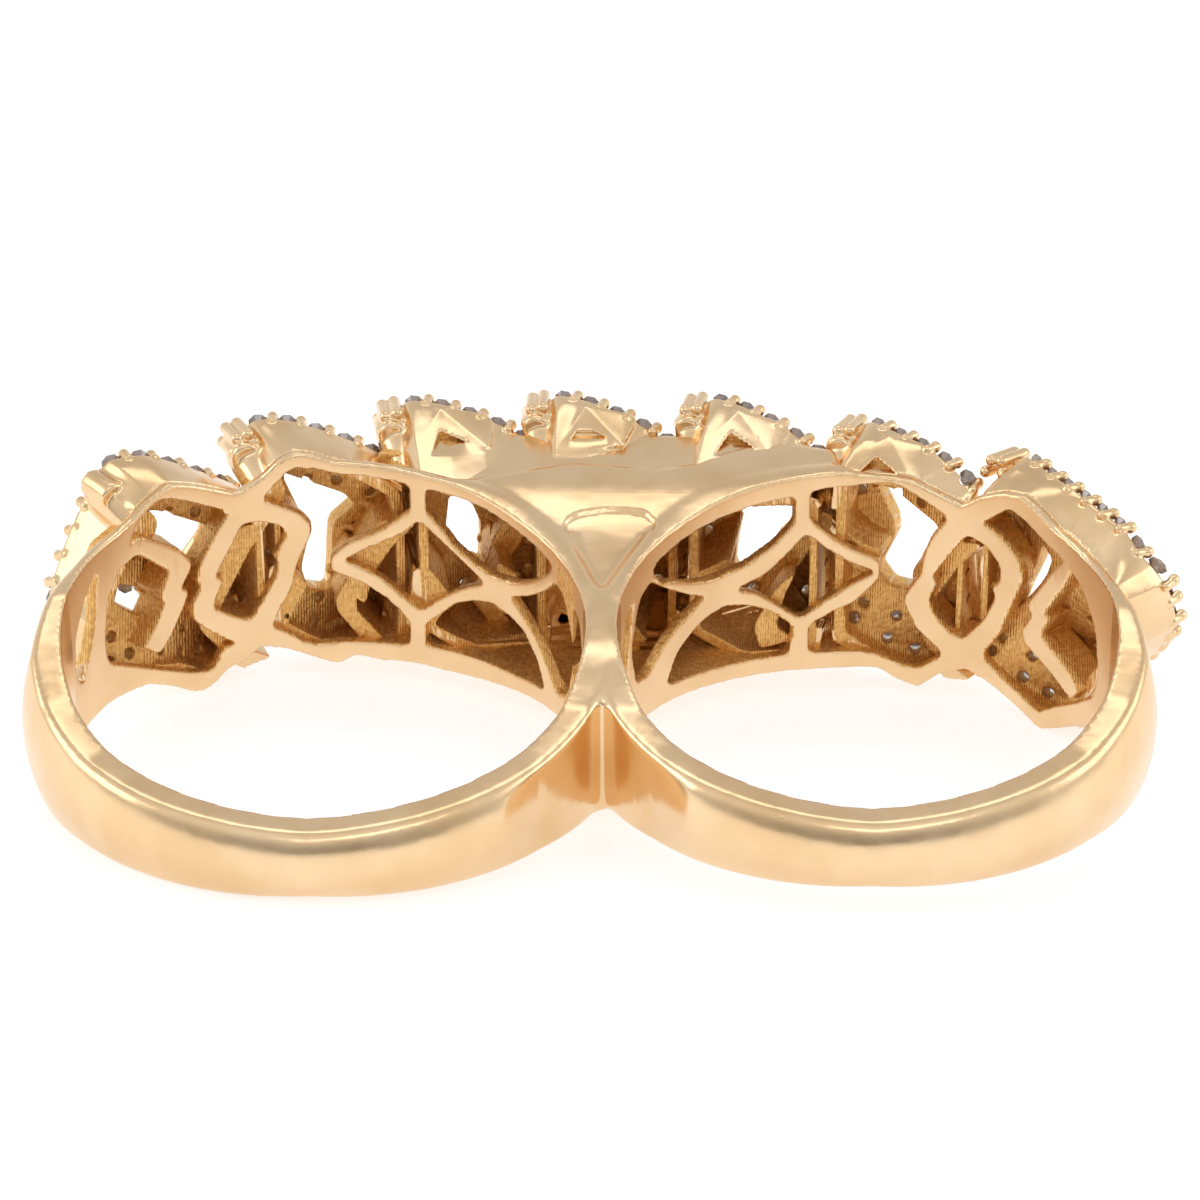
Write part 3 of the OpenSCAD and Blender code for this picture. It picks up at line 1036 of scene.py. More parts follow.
@dataclass
class Shoulder:
    """Two smooth panels from the bridge to the front, hollow between.

    The plan is in percent of each bore's radius. The side view is the place toward the front in
    percent of the left bore's radius and the height in percent of the gallery's half height.
    The shield, a shallow recess, and the line of the step to the links are in millimetres.
    """

    sizes: RingSizes
    plan_left: Outline = field(
        default_factory=lambda: [
            (-13, -35), (-26, -10), (-97, 97), (-93, 125), (-50, 137), (0, 140),
        ]
    )
    plan_right: Outline = field(
        default_factory=lambda: [(53, 142), (97, 129), (103, 99), (27, -10), (13, -36)]
    )
    side: Outline = field(
        default_factory=lambda: [
            (-34.7, 42), (-30, 49), (-24, 56), (-14, 63), (0, 66), (17, 68), (35, 70), (53, 73.5),
            (69.5, 77.5), (81.5, 83), (92.5, 87.5), (150, 88),
        ]
    )
    shield: Outline = field(
        default_factory=lambda: [
            (-1.7, 7.0), (-1.25, 7.6), (0.2, 7.95), (1.6, 7.75), (2.1, 7.1), (1.7, 5.2),
            (1.0, 3.3), (0.4, 2.5), (-0.3, 2.5), (-0.85, 3.3), (-1.35, 5.2),
        ]
    )
    shield_drop: float = 0.17
    shield_crisp_from: float = 6.6
    shield_slopes: Pair = (0.16, 0.7)
    step_line: Outline = field(
        default_factory=lambda: [
            (-6, 9.4), (-4.7, 9.9), (-1.3, 10.95), (0.9, 10.65), (2, 10.5), (3.6, 10.95),
            (4.6, 11.8), (6, 12.6),
        ]
    )
    step_drop: float = 0.2
    step_w: float = 0.45
    edge_round: float = 0.5
    hollow_round: float = 0.1
    hollow_from: Triple = (0.3, 0.34, 0.5)
    hollow_rise: Triple = (0.0, 0.4, 0.6)
    hollow_free: float = 5.0

    def lid(self, x: Array, y: Array) -> Array:
        """Work out how high the panels stand.

        Args:
            x: across the fingers.
            y: toward the front.

        Returns:
            The height over the middle plane, in millimetres.
        """
        s = self.sizes
        knots = np.array(self.side, float)
        fine = np.linspace(-60.0, 170.0, 461)
        raw = np.interp(fine, knots[:, 0], knots[:, 1])
        smooth = softened(np.pad(raw, 30, "edge"), 61)
        lid = np.interp(y, fine / 100 * s.left_r, smooth / 100 * s.half_h)
        slope = np.where(y > self.shield_crisp_from, *self.shield_slopes)
        dip = np.clip(-polygon_distance(x, y, rounded(self.shield)) / slope, 0.0, 1.0)
        lid = lid - eased(self.shield_drop, dip)
        line = np.array(self.step_line, float)
        past = (y - np.interp(x, line[:, 0], line[:, 1])) / self.step_w + 0.5
        return lid - eased(self.step_drop, np.clip(past, 0.0, 1.0))

    def distance(self, x: Array, y: Array, z: Array) -> Array:
        """Work out the shoulder.

        Args:
            x: across the fingers.
            y: toward the front.
            z: along the bores.

        Returns:
            The distance to it.
        """
        s = self.sizes
        plan = [(a / 100 * s.left_r, b / 100 * s.left_r) for a, b in self.plan_left]
        plan += [(a / 100 * s.right_r, b / 100 * s.right_r) for a, b in self.plan_right]
        lid = self.lid(x, y)
        body = smooth_max(polygon_distance(x, y, plan), np.abs(z) - lid, self.edge_round)
        start, _, free = self.hollow_from
        places, rises = np.array(self.hollow_from), np.array(self.hollow_rise)
        roof = np.interp(y, places * s.left_r, rises * s.half_h)
        roof = np.minimum(lid - s.panel_t, roof + self.hollow_free * (y > free * s.left_r))
        hollow = np.maximum(np.abs(z) - roof, start * s.left_r - y)
        return smooth_max(body, -hollow, self.hollow_round)


def ring_hoops(s: RingSizes) -> list[Hoop]:
    """Set up the two hoops.

    Args:
        s: the ring's sizes.

    Returns:
        The left and the right hoop.
    """
    return [
        Hoop(s, s.left_centre, s.left_r, TOP_LEFT, LOW_LEFT, EDGE_LEFT, CROWN_LEFT,
             WINDOWS_LEFT, BARS_LEFT, 2),
        Hoop(s, s.right_centre, s.right_r, TOP_RIGHT, LOW_RIGHT, EDGE_RIGHT, CROWN_RIGHT,
             WINDOWS_RIGHT, BARS_RIGHT, 4),
    ]


@dataclass
class Body:
    """The double band with the pierced gallery and the shoulder."""

    shop: Workshop
    low: Triple = (-22.6, -12.0, -6.0)
    high: Triple = (21.6, 14.6, 6.0)
    step: float = 0.1
    triangles: int = 190000
    bridge_fillet: float = 0.35
    shoulder_fillet: float = 0.7
    window_round: float = 0.08
    bar_fillet: float = 0.1
    front_turn: float = 82.0
    bore_skin: float = 0.07
    rail_margin: float = 0.25
    # reach and start of the faces that get the cast skin and its painted amber shade
    cast_shade_reach: float = 3.2
    cast_shade_from: float = 3.0

    def build(self) -> bpy.types.Object:
        """Make the piece.

        Returns:
            The double band.
        """
        lattice = Lattice(self.low, self.high, self.step)
        x, y, z = lattice.axes()
        left, right = self.shop.hoops
        metal = smooth_min(left.solid(x, y, z), right.solid(x, y, z), self.bridge_fillet)
        shoulder = Shoulder(self.shop.sizes).distance(x, y, z)
        metal = smooth_min(metal, shoulder, self.shoulder_fillet)
        for hoop in (left, right):
            bore = hoop.radius - hoop.radial(x, y)
            metal = smooth_max(metal, bore, hoop.bore_round)
            metal = smooth_max(metal, -hoop.opened(x, y, z), self.window_round)
            metal = smooth_min(metal, hoop.tubes(x, y, z), self.bar_fillet)
            metal = smooth_max(metal, bore, self.bar_fillet)
        points, faces = lattice.skin(metal)
        marks = self.marks(points[faces].mean(axis=1))
        thing = self.shop.piece("double_band", points, faces, self.shop.finishes.gold, marks)
        self.shop.thin(thing, self.triangles)
        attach(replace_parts(thing, "cast_body"), "root")
        return thing

    def marks(self, centre: Array) -> Array:
        """Choose the finish of each face: satin on the front of the bores, the rough cast skin with
        its painted amber shade on the front faces between the rails just out from the bore, polish
        elsewhere.

        Args:
            centre: middle of each face.

        Returns:
            One slot number a face.
        """
        x, y, z = centre.T
        marks = np.full(len(centre), Metal.POLISHED.value)
        for hoop in self.shop.hoops:
            rho, beta = hoop.radial(x, y), hoop.angle(x, y)
            front = np.abs(beta) < self.front_turn
            wall = hoop.radius + self.bore_skin
            marks[front & (rho < wall)] = Metal.SATIN.value
            top, low = hoop.heights(beta)
            within = (z < top - self.rail_margin) & (z > low + self.rail_margin)
            # faces of the windows and of the gallery behind them get the cast skin, whose deeper
            # amber base colour is painted shade
            inner = front & within & (rho > wall) & (rho < hoop.radius + self.cast_shade_reach)
            marks[inner & (y > self.cast_shade_from)] = Metal.CAST.value
        return marks


@dataclass(frozen=True)
class LinkPlan:
    """Where one link sits on the front.

    Stand, reach and the middle link's place across are in percent of the left bore's radius,
    the rise in percent of half the gallery's height, and the two heights of the upper edge in
    percent of half the link's height.
    """

    side: Side
    angle: float
    stand: float
    turn: float
    rise: float
    reach: float
    mid: float
    end: float


LINK_PLANS = [
    LinkPlan(Side.LEFT, -33.5, 19, 41, 5, 17, 80, 61),
    LinkPlan(Side.LEFT, -5, 24, 22, 4, 10, 84, 70),
    LinkPlan(Side.LEFT, 19.4, 45, 9, 2, 1, 88, 77),
    LinkPlan(Side.BOTH, 3, 41.5, 0, 0, -11, 88, 77),
    LinkPlan(Side.RIGHT, -15, 40.5, -9, -2, 6, 88, 77),
    LinkPlan(Side.RIGHT, 11.6, 18, -21, -5, 16, 93, 85),
    LinkPlan(Side.RIGHT, 43.5, 15, -40, -6, 21, 96, 95),
]
# Heights of the lower edge at its middle and its end, in percent of half the height
LOW_EDGE = (93, 74)
# The end links run on past the last neighbour, in percent of half the width and half the
# height. The right end belongs to the upper edge up to the split.
LEFT_END = [(-190, -60), (-200, -25), (-195, 10), (-148, 43), (-113, 62), (-106, 90)]
RIGHT_END = [(120, 93), (170, 77), (192, 58), (195, 25), (168, -7), (130, -35), (105, -70)]
END_SPLIT = 3
# Openings through each link, in percent of half the width and half the height
OPENINGS: dict[int, list[Outline]] = {
    0: [
        [(-62, 42), (-42, 54), (34, 28), (30, 17), (4, 0), (-20, 22)],
        [(-103, 6), (-116, -6), (-66, -30), (-58, -22), (-82, 0)],
    ],
    1: [[(-52, 56), (-14, 46), (22, 37), (37, 26), (8, 11), (6, -22), (0, -47), (-32, -37),
         (-38, -20), (-22, 6)]],
    2: [[(-30, 24), (-2, 18), (9, 0), (6, -42), (-16, -30), (-37, -5)]],
    3: [[(-30, 24), (-2, 18), (9, 0), (6, -42), (-16, -30), (-37, -5)]],
    4: [[(-30, 17), (36, 32), (38, 10), (14, -8), (-3, -44), (-38, -32), (-34, 0)]],
    5: [[(-54, 52), (-28, 54), (45, 38), (22, 12), (3, -10), (4, -26), (-22, -22), (-41, -11),
         (-22, 15), (-26, 28)]],
    6: [[(-12, 45), (8, 39), (0, 24), (-22, 2), (-42, -15), (-36, 2), (-26, 20)]],
}
# Slanting walls inside each link, in the same percent: the bent end that passes behind its
# neighbour, the step down to the neighbour's end, and the fins beside the openings
TIP = [(-81, 37), (-130, 34), (-157, 9), (-165, -8), (-191, -40), (-135, -88), (-90, -82),
       (-122, -72), (-165, -40), (-123, 3), (-112, 14)]
TIP_PRONGS = [(-148, 28), (-167, 8), (-174, -12), (-188, -28)]
STEP = [(-89, -4), (-67, -1), (-40, -23), (-58, -42), (-79, -68), (-102, -50), (-92, -23)]
FINS: dict[int, list[Outline]] = {
    0: [],
    1: [STEP, TIP, [(19, 6), (45, -7), (29, -42), (12, -33), (6, -16)]],
    2: [STEP, TIP, [(19, 6), (45, -7), (29, -42), (12, -33), (6, -16)]],
    3: [STEP, TIP, [(19, 6), (45, -7), (29, -42), (12, -33), (6, -16)]],
    4: [TIP, [(-77, -3), (-27, 15), (-33, -6), (-57, -41), (-96, -49), (-74, -20)],
        [(3, -42), (32, -11), (54, -2), (41, -20), (31, -46), (56, -61), (12, -63)]],
    5: [TIP, [(-134, 38), (-98, 43), (-57, 24), (-23, 17), (-42, -7), (-70, 3)]],
    6: [TIP],
}
# Stones and prongs of the free ends, in the same percent
LEFT_STONES = [(-108, 47), (-130, 32), (-153, 18), (-176, 3), (-104, 21), (-129, 6), (-176, -17),
               (-143, -14), (-175, -36), (-138, -32), (-151, -48), (-119, -48), (-88, -46)]
RIGHT_STONES = [(171, 46), (138, 42), (170, 27), (156, 9), (133, 22), (103, 18), (132, -6),
                (111, -22)]
SIDE_STONES = [(-73, 44), (-73, 19), (-73, -6)]
LEFT_PRONGS = [(-110, 61), (-131, 46), (-154, 32), (-177, 17), (-193, -7), (-193, -27),
               (-189, -46), (-171, -56), (-135, -58), (-103, -57)]
RIGHT_PRONGS = [(190, 62), (190, 46), (190, 27), (176, 8), (162, -6), (144, -20), (124, -34),
                (108, -55)]
# Posts of the basket at the upper left corner
CORNER_POSTS = [(-114, 76), (-108, 86), (-93, 88), (-88, 80)]


@dataclass(frozen=True)
class Peak:
    """Pointed peak on the upper side of a link, with a three sided pocket in its front.

    Corners are along, out and up, in percent of half the width, half the width and half the
    height. The pocket's corners are along and up. Its depth and the way that it runs on into
    the hollow are in millimetres.
    """

    corners: tuple = ((-38, -12, 94), (-64, -60, 79), (8, -63, 80), (-55, -10, 84), (15, -8, 84),
                      (-30, -40, 74))
    faces: tuple = ((0, 1, 2), (0, 2, 4), (0, 4, 3), (0, 3, 1), (1, 5, 2), (2, 5, 4), (4, 5, 3),
                    (3, 5, 1))
    swell: float = 0.06
    fillet: float = 0.3
    pocket: tuple = ((-42, 87.5), (-56, 82), (-10, 82))
    pocket_front: float = -46
    pocket_depth: float = 0.35
    pocket_run: float = 1.0
    pocket_rounds: Pair = (0.1, 0.12)


@dataclass(frozen=True)
class Pedestal:
    """Rough cup under the corner posts and the smooth foot that carries it.

    Places along and up are in percent of half the link's width and height, and places out are
    in millimetres.
    """

    cup: Pair = (-101, 79)
    cup_r: float = 0.58
    cup_top: float = 0.85
    cup_bottom: float = 0.8
    cup_round: float = 0.2
    foot: Triple = (-98, -0.1, 73)
    heel: Triple = (-86, -1.9, 58)
    foot_r: float = 0.72
    fillet: float = 0.15


@dataclass(frozen=True)
class Prong:
    """One kind of prong: how deep it roots, how thick and high it is, how far it leans in."""

    root: float
    radius: float = 0.2
    height: float = 0.33
    lean: float = 0.12


BEAD_PRONG = Prong(0.2)
RIM_PRONG = Prong(0.22)
CORNER_POST = Prong(1.2, 0.25, 0.3, 0.0)


@dataclass(frozen=True)
class CutStone:
    """A stone with a table, a crown of facets, a girdle and a point below."""

    table_share: float = 0.55
    table_h: float = 0.17
    girdle_h: float = 0.05
    point: float = -0.38
    sides: int = 8

    def cut(self, r: float) -> tuple[Array, Array]:
        """Cut the stone.

        Args:
            r: radius of its girdle.

        Returns:
            Corners round the stone's own axis, and triangles.
        """
        n = self.sides
        turns = [math.radians(180 / n + 360 / n * k) for k in range(n)]
        rings = [(self.table_share, self.table_h), (1.0, self.girdle_h), (1.0, 0.0)]
        shape = [(share * r * math.cos(a), share * r * math.sin(a), height)
                 for share, height in rings for a in turns]
        tris = [(0, k, k + 1) for k in range(1, n - 1)]
        for k in range(n):
            m = (k + 1) % n
            tris += [(k, n + k, n + m), (k, n + m, m)]
            tris += [(n + k, 2 * n + k, 2 * n + m), (n + k, 2 * n + m, n + m)]
            tris += [(2 * n + k, 3 * n, 2 * n + m)]
        return np.array(shape + [(0.0, 0.0, self.point)]), np.array(tris)


@dataclass
class Link:
    """One hollow curb link with its prongs and stones.

    Its own axes are along the chain, out of the set face and up, from the middle of the face.
    """

    shop: Workshop
    number: int
    plan: LinkPlan
    step: float = 0.065
    triangles: int = 85000
    narrowing: float = 0.12
    shoulder_taper: float = 0.2
    free_twist: float = 1.7
    free_width: float = 2.0
    rail_gap: float = 0.3
    wall_round: float = 0.2
    face_round: float = 0.22
    hollow_round: float = 0.4
    cut_round: float = 0.1
    gap_along: float = 0.8
    gap_rise: float = 0.52
    corner_share: float = 0.12
    outline_share: float = 0.2
    chart: tuple[Pair, Pair] = ((-7.6, -6.6), (7.6, 6.6))
    chart_step: float = 0.03
    fin_top: float = 0.6
    fin_fillet: float = 0.06
    pedestal_fillet: float = 0.25
    rim_inset: float = 0.5
    rim_prong_inset: float = 0.1
    row: int = 5
    free_row: int = 8
    free_rim_row: int = 7
    second_row: int = 4
    free_second_row: int = 6
    row_start: float = 0.72
    row_shift: float = 0.07
    second_shift: float = 0.77
    bead_shift: float = 0.42
    stone_lift: float = 0.3
    drill_r: float = 0.225
    drill_past: float = 0.25
    drill_top: float = 0.2
    drill_short: float = 0.08
    drill_lean: float = 0.5
    drill_lean_from: Pair = (0.85, 0.5)
    drill_margin: float = 0.1
    hole_fillet: float = 0.04
    seat_r: float = 0.44
    seat: Pair = (0.42, 0.6)
    seat_fillet: float = 0.05
    prong_fillet: float = 0.08
    ball_r: float = 0.24
    ball_half: float = 0.03
    ball_fillet: float = 0.05
    tip_prong: Pair = (0.17, 0.21)
    tip_root: Triple = (0.5, -0.3, 0.0)
    tip_depth: float = -1.0
    bore_clearance: float = 0.1
    # margins of the faces that get the cast skin and its painted amber shade
    cast_shade_skin: float = 0.25
    cast_shade_under: float = 0.2
    strap: Triple = (0.9, 0.5, 0.7)
    margin: float = 0.6
    front_room: float = 2.6
    back_room: float = 0.3
    tip_room: float = 2.05

    @property
    def free_left(self) -> bool:
        """Whether the left half has no neighbour."""
        return self.number == 0

    @property
    def free_right(self) -> bool:
        """Whether the right half has no neighbour."""
        return self.number == len(LINK_PLANS) - 1

    @property
    def stand(self) -> float:
        """Height of the middle of the set face over the gallery wall."""
        return self.plan.stand / 100 * self.shop.sizes.left_r

    @property
    def depth(self) -> float:
        """How far the link's walls reach in from the set face."""
        return self.stand + self.plan.reach / 100 * self.shop.sizes.left_r

    @property
    def pedestal_turns(self) -> tuple[int, ...]:
        """Say which corners stand on a pedestal.

        Returns:
            1 for the upper left corner, -1 for the lower right one, or both.
        """
        if self.free_left:
            return (1,)
        return (-1,) if self.free_right else (1, -1)

    def middle(self) -> Array:
        """Find the middle of the set face.

        Returns:
            Its place, in ring millimetres.
        """
        s, p = self.shop.sizes, self.plan
        if p.side is Side.BOTH:
            out = (s.left_r + s.right_r) / 2 + s.gallery_t + self.stand
            return np.array([p.angle / 100 * s.left_r, out, 0.0])
        left = p.side is Side.LEFT
        cx, cy = s.left_centre if left else s.right_centre
        r = (s.left_r if left else s.right_r) + s.gallery_t + self.stand
        b = math.radians(p.angle)
        return np.array([cx + r * math.sin(b), cy + r * math.cos(b), p.rise / 100 * s.half_h])

    def axes(self) -> tuple[Array, Array]:
        """Unit vectors along the chain and out of the face."""
        t = math.radians(self.plan.turn)
        return np.array([math.cos(t), math.sin(t), 0.0]), np.array([-math.sin(t), math.cos(t), 0.0])

    def to_ring(self, local: Array) -> Array:
        """Turn the link's own millimetres to the ring's.

        Args:
            local: along, out and up, one row a point.

        Returns:
            The ring's x, y and z.
        """
        u, n = self.axes()
        up = np.array([0, 0, 1.0])
        return self.middle() + local[:, :1] * u + local[:, 1:2] * n + local[:, 2:] * up

    def lift(self, u: Array, v: Array) -> Array:
        """Work out the twist of the set face.

        Args:
            u: along the chain.
            v: up across the chain.

        Returns:
            Height of the face over its middle plane.
        """
        s = self.shop.sizes
        free = (self.free_left & (u < 0)) | (self.free_right & (u > 0))
        high = s.link_twist * np.where(free, self.free_twist, 1.0)
        half = s.link_w / 2 * np.where(free, self.free_width, 1.0)
        share = np.minimum(np.abs(u) / half, np.abs(v) / (s.link_h / 2))
        return -high * np.sign(u) * np.sign(v) * share

    def percent(self, spots: Outline) -> Outline:
        """Spots given in percent of half the link's width and height."""
        s = self.shop.sizes
        return [(a / 100 * s.link_w / 2, b / 100 * s.link_h / 2) for a, b in spots]

    @staticmethod
    def edge(mid: float, end: float) -> Outline:
        """An upper edge from its peak to its right end, in percent of the half sizes."""
        return [(-100, 78), (-76, 95), (-35, 94), (10, mid), (60, end), (95, end - 16)]

    def top_edge(self) -> Outline:
        """The link's upper edge, in percent, with the upper part of a free right end."""
        edge = self.edge(self.plan.mid, self.plan.end)
        return edge[:-1] + RIGHT_END[:END_SPLIT] if self.free_right else edge

    def outline(self) -> Outline:
        """Draw the link round.

        Returns:
            The outline in millimetres.
        """
        top, low = self.top_edge(), self.edge(*LOW_EDGE)
        left = LEFT_END if self.free_left else top[:1]
        right = RIGHT_END[END_SPLIT:] if self.free_right else turned(low[:1])
        back = turned(low[1:-1] if self.free_left else low[1:])
        return self.percent(left + top[1:] + right + back)

    @cached_property
    def flat(self) -> Chart:
        """Draw the link's outline.

        Returns:
            The distance to it, along the chain and up.
        """
        outline = rounded(self.outline(), 1, self.outline_share)
        (low, high), step = self.chart, self.chart_step
        return Chart.of(low, high, step, lambda a, b: polygon_distance(a, b, outline))

    def ring_plan(self, u: Array, n: Array) -> tuple[Array, Array]:
        """The ring's x and y at places of the link."""
        mid, (au, an) = self.middle(), self.axes()
        return mid[0] + u * au[0] + n * an[0], mid[1] + u * au[1] + n * an[1]

    def sides(self, u: Array, n: Array, v: Array) -> Array:
        """Work out the two side panels, which run from the link's edges to the rails.

        Args:
            u: along the chain.
            n: out of the face.
            v: up across the chain.

        Returns:
            The distance to them.
        """
        s = self.shop.sizes
        upper = np.array((LEFT_END[1:] if self.free_left else []) + self.top_edge(), float)
        lower = np.array(self.edge(*LOW_EDGE), float)
        across = u / (s.link_w / 2) * 100
        high = np.interp(across, upper[:, 0], upper[:, 1]) / 100 * s.link_h / 2
        deep = np.interp(-across, lower[:, 0], lower[:, 1]) / 100 * s.link_h / 2
        if 1 < self.number < len(LINK_PLANS) - 2:
            slope = 1 - self.shoulder_taper * np.clip(-n / self.depth, 0.0, 1.0)
            return np.maximum(v - high * slope, -v - deep * slope)
        x, y = self.ring_plan(u, n)
        (out_a, top_a, low_a), (out_b, top_b, low_b) = [h.rails(x, y) for h in self.shop.hoops]
        near = out_a < out_b
        rise = self.middle()[2]
        top = np.where(near, top_a, top_b) - rise
        low = np.where(near, low_a, low_b) + rise
        out = np.where(near, out_a, out_b)
        share = 1.0 - np.clip(out / (self.stand - self.rail_gap), 0.0, 1.0)
        high = high * (1 - share) + top * share
        deep = deep * (1 - share) + low * share
        return np.maximum(v - high, -v - deep)

    def metal(self, u: Array, n: Array, v: Array) -> Array:
        """Work out the link's metal, without its peak and its prongs.

        Args:
            u: along the chain.
            n: out of the face.
            v: up across the chain.

        Returns:
            The distance, negative inside the metal.
        """
        s = self.shop.sizes
        face = self.lift(u, v)
        down = np.clip((face - n) / self.depth, 0.0, 1.0)
        slim = 1 - self.narrowing * down
        flat = self.flat.read(u / slim, np.broadcast_to(v, slim.shape)) * slim
        sides = self.sides(u, n, v)
        outer = smooth_max(flat, sides, self.wall_round)
        outer = smooth_max(outer, n - face, self.face_round)
        outer = smooth_max(outer, -(n + self.depth), self.wall_round)
        under = n - (face - s.plate_t)
        inner = smooth_max(np.maximum(flat, sides) + s.link_wall, under, self.hollow_round)
        shell = smooth_max(outer, -inner, self.cut_round)
        gap = np.maximum(np.abs(v) - self.gap_rise * s.link_h / 2, under)
        ends = self.gap_along * s.link_w / 2
        if not self.free_left:
            shell = smooth_max(shell, -np.maximum(gap, u + ends), self.cut_round)
        if not self.free_right:
            shell = smooth_max(shell, -np.maximum(gap, ends - u), self.cut_round)
        for opening in OPENINGS[self.number]:
            hole = polygon_distance(u, v, rounded(self.percent(opening), 1, self.corner_share))
            shell = smooth_max(shell, -hole, self.cut_round)
        low = min(self.depth, self.stand + s.gallery_t)
        reach = np.maximum(n + self.fin_top, -(n + low))
        for wall in FINS[self.number]:
            fin = polygon_distance(u, v, rounded(self.percent(wall), 1, self.corner_share))
            fin = smooth_max(fin, reach, self.corner_share)
            shell = smooth_min(shell, fin, self.fin_fillet)
        for turn in self.pedestal_turns:
            foot = self.pedestal(turn * u, n, turn * v)
            shell = smooth_min(shell, foot, self.pedestal_fillet)
        return shell

    def pedestal(self, u: Array, n: Array, v: Array) -> Array:
        """Work out the pedestal under the posts of the upper left corner.

        Args:
            u: along the chain.
            n: out of the face.
            v: up across the chain.

        Returns:
            The distance to it.
        """
        s, p = self.shop.sizes, Pedestal()
        a, b = s.link_w / 200, s.link_h / 200
        cup = np.hypot(u - p.cup[0] * a, v - p.cup[1] * b) - p.cup_r
        cup = smooth_max(cup, np.maximum(n - p.cup_top, -(n + p.cup_bottom)), p.cup_round)
        foot, heel = [(q[0] * a, q[1], q[2] * b) for q in (p.foot, p.heel)]
        return smooth_min(cup, rod_distance(u, n, v, foot, heel) - p.foot_r, p.fillet)

    def peak(self, metal: Array, u: Array, n: Array, v: Array) -> Array:
        """Add the pointed peak to the link's metal.

        Args:
            metal: the distance to the metal without it.
            u: along the chain.
            n: out of the face.
            v: up across the chain.

        Returns:
            The distance with the peak and its pocket.
        """
        s, peak = self.shop.sizes, Peak()
        a, b = s.link_w / 200, s.link_h / 200
        corners = [(p[0] * a, p[1] * a, p[2] * b) for p in peak.corners]
        block = hull_distance(u, n, v, corners, peak.faces) - peak.swell
        metal = smooth_min(metal, block, peak.fillet)
        front = n - peak.pocket_front * a
        pocket = np.maximum(polygon_distance(u, v, self.percent(list(peak.pocket))), front)
        back = -front - peak.pocket_depth - peak.pocket_run
        inner, outer = peak.pocket_rounds
        return smooth_max(metal, -smooth_max(pocket, back, inner), outer)

    def along(self, edge: Outline, inset: float, start: float, count: int) -> Outline:
        """Spots every pitch under an edge.

        Args:
            edge: the edge in percent.
            inset: how far in from the edge.
            start: distance of the first spot from the peak.
            count: how many.

        Returns:
            The spots in millimetres.
        """
        s = self.shop.sizes
        knots = np.array(edge, float)
        spots = []
        for k in range(count):
            u = start - self.row_start * s.link_w / 2 + k * s.stone_pitch
            v = np.interp(u / (s.link_w / 2) * 100, knots[:, 0], knots[:, 1]) / 100 * s.link_h / 2
            spots.append((float(u), float(v - inset)))
        return spots

    def edge_stones(self, edge: Outline, count: int) -> Outline:
        """Edge row, second row and side row of stones under one edge.

        Args:
            edge: the edge in percent.
            count: stones in the edge row.

        Returns:
            The spots in millimetres.
        """
        s = self.shop.sizes
        second = self.second_row if count == self.row else self.free_second_row
        start = self.second_shift * s.stone_pitch
        return (
            self.along(edge, self.rim_inset, self.row_shift, count)
            + self.along(edge, s.row_inset + s.stone_pitch, start, second)
            + self.percent(SIDE_STONES)
        )

    def bead_prongs(self, edge: Outline) -> Outline:
        """Prongs between the rows under one edge."""
        inset = self.shop.sizes.row_inset + self.shop.sizes.stone_pitch / 2
        return self.along(edge, inset, self.bead_shift * self.shop.sizes.stone_pitch, self.row - 1)

    def rim_prongs(self, edge: Outline, count: int) -> Outline:
        """Prongs right on one edge."""
        start = self.row_shift + self.shop.sizes.stone_pitch / 2
        return self.along(edge, self.rim_prong_inset, start, count)

    def stone_spots(self) -> Outline:
        """Lay the stones out.

        Returns:
            Middle of each stone, in millimetres.
        """
        count = self.free_row if self.free_right else self.row
        spots = self.edge_stones(self.top_edge(), count)
        spots += turned(self.edge_stones(self.edge(*LOW_EDGE), self.row))
        if self.free_left:
            spots += self.percent(LEFT_STONES)
        if self.free_right:
            spots += self.percent(RIGHT_STONES)
        return spots

    def prong_spots(self) -> list[tuple[float, float, Prong]]:
        """Lay the prongs out.

        Returns:
            Place and kind of each prong.
        """
        top, low = self.top_edge(), self.edge(*LOW_EDGE)
        count = self.free_rim_row if self.free_right else self.row
        bead = self.bead_prongs(top) + turned(self.bead_prongs(low))
        rim = self.rim_prongs(top, count) + turned(self.rim_prongs(low, self.row))
        posts: Outline = []
        if self.free_left:
            rim += self.percent(LEFT_PRONGS)
        if self.free_right:
            rim += self.percent(RIGHT_PRONGS)
        else:
            posts += turned(self.percent(CORNER_POSTS))
        if not self.free_left:
            posts += self.percent(CORNER_POSTS)
        kinds = ((bead, BEAD_PRONG), (rim, RIM_PRONG), (posts, CORNER_POST))
        return [(*spot, kind) for spots, kind in kinds for spot in spots]

    def facing(self, u: float, v: float) -> tuple[Array, Array]:
        """Find a spot on the set face.

        Args:
            u: along the chain.
            v: up across the chain.

        Returns:
            The spot and the direction out of the face there, in the link's own axes.
        """
        d = 0.02
        a, b = np.array([u]), np.array([v])
        h = float(self.lift(a, b)[0])
        hu = float(self.lift(a + d, b)[0] - self.lift(a - d, b)[0]) / (2 * d)
        hv = float(self.lift(a, b + d)[0] - self.lift(a, b - d)[0]) / (2 * d)
        out = np.array([-hu, 1.0, -hv])
        return np.array([u, h, v]), out / np.linalg.norm(out)

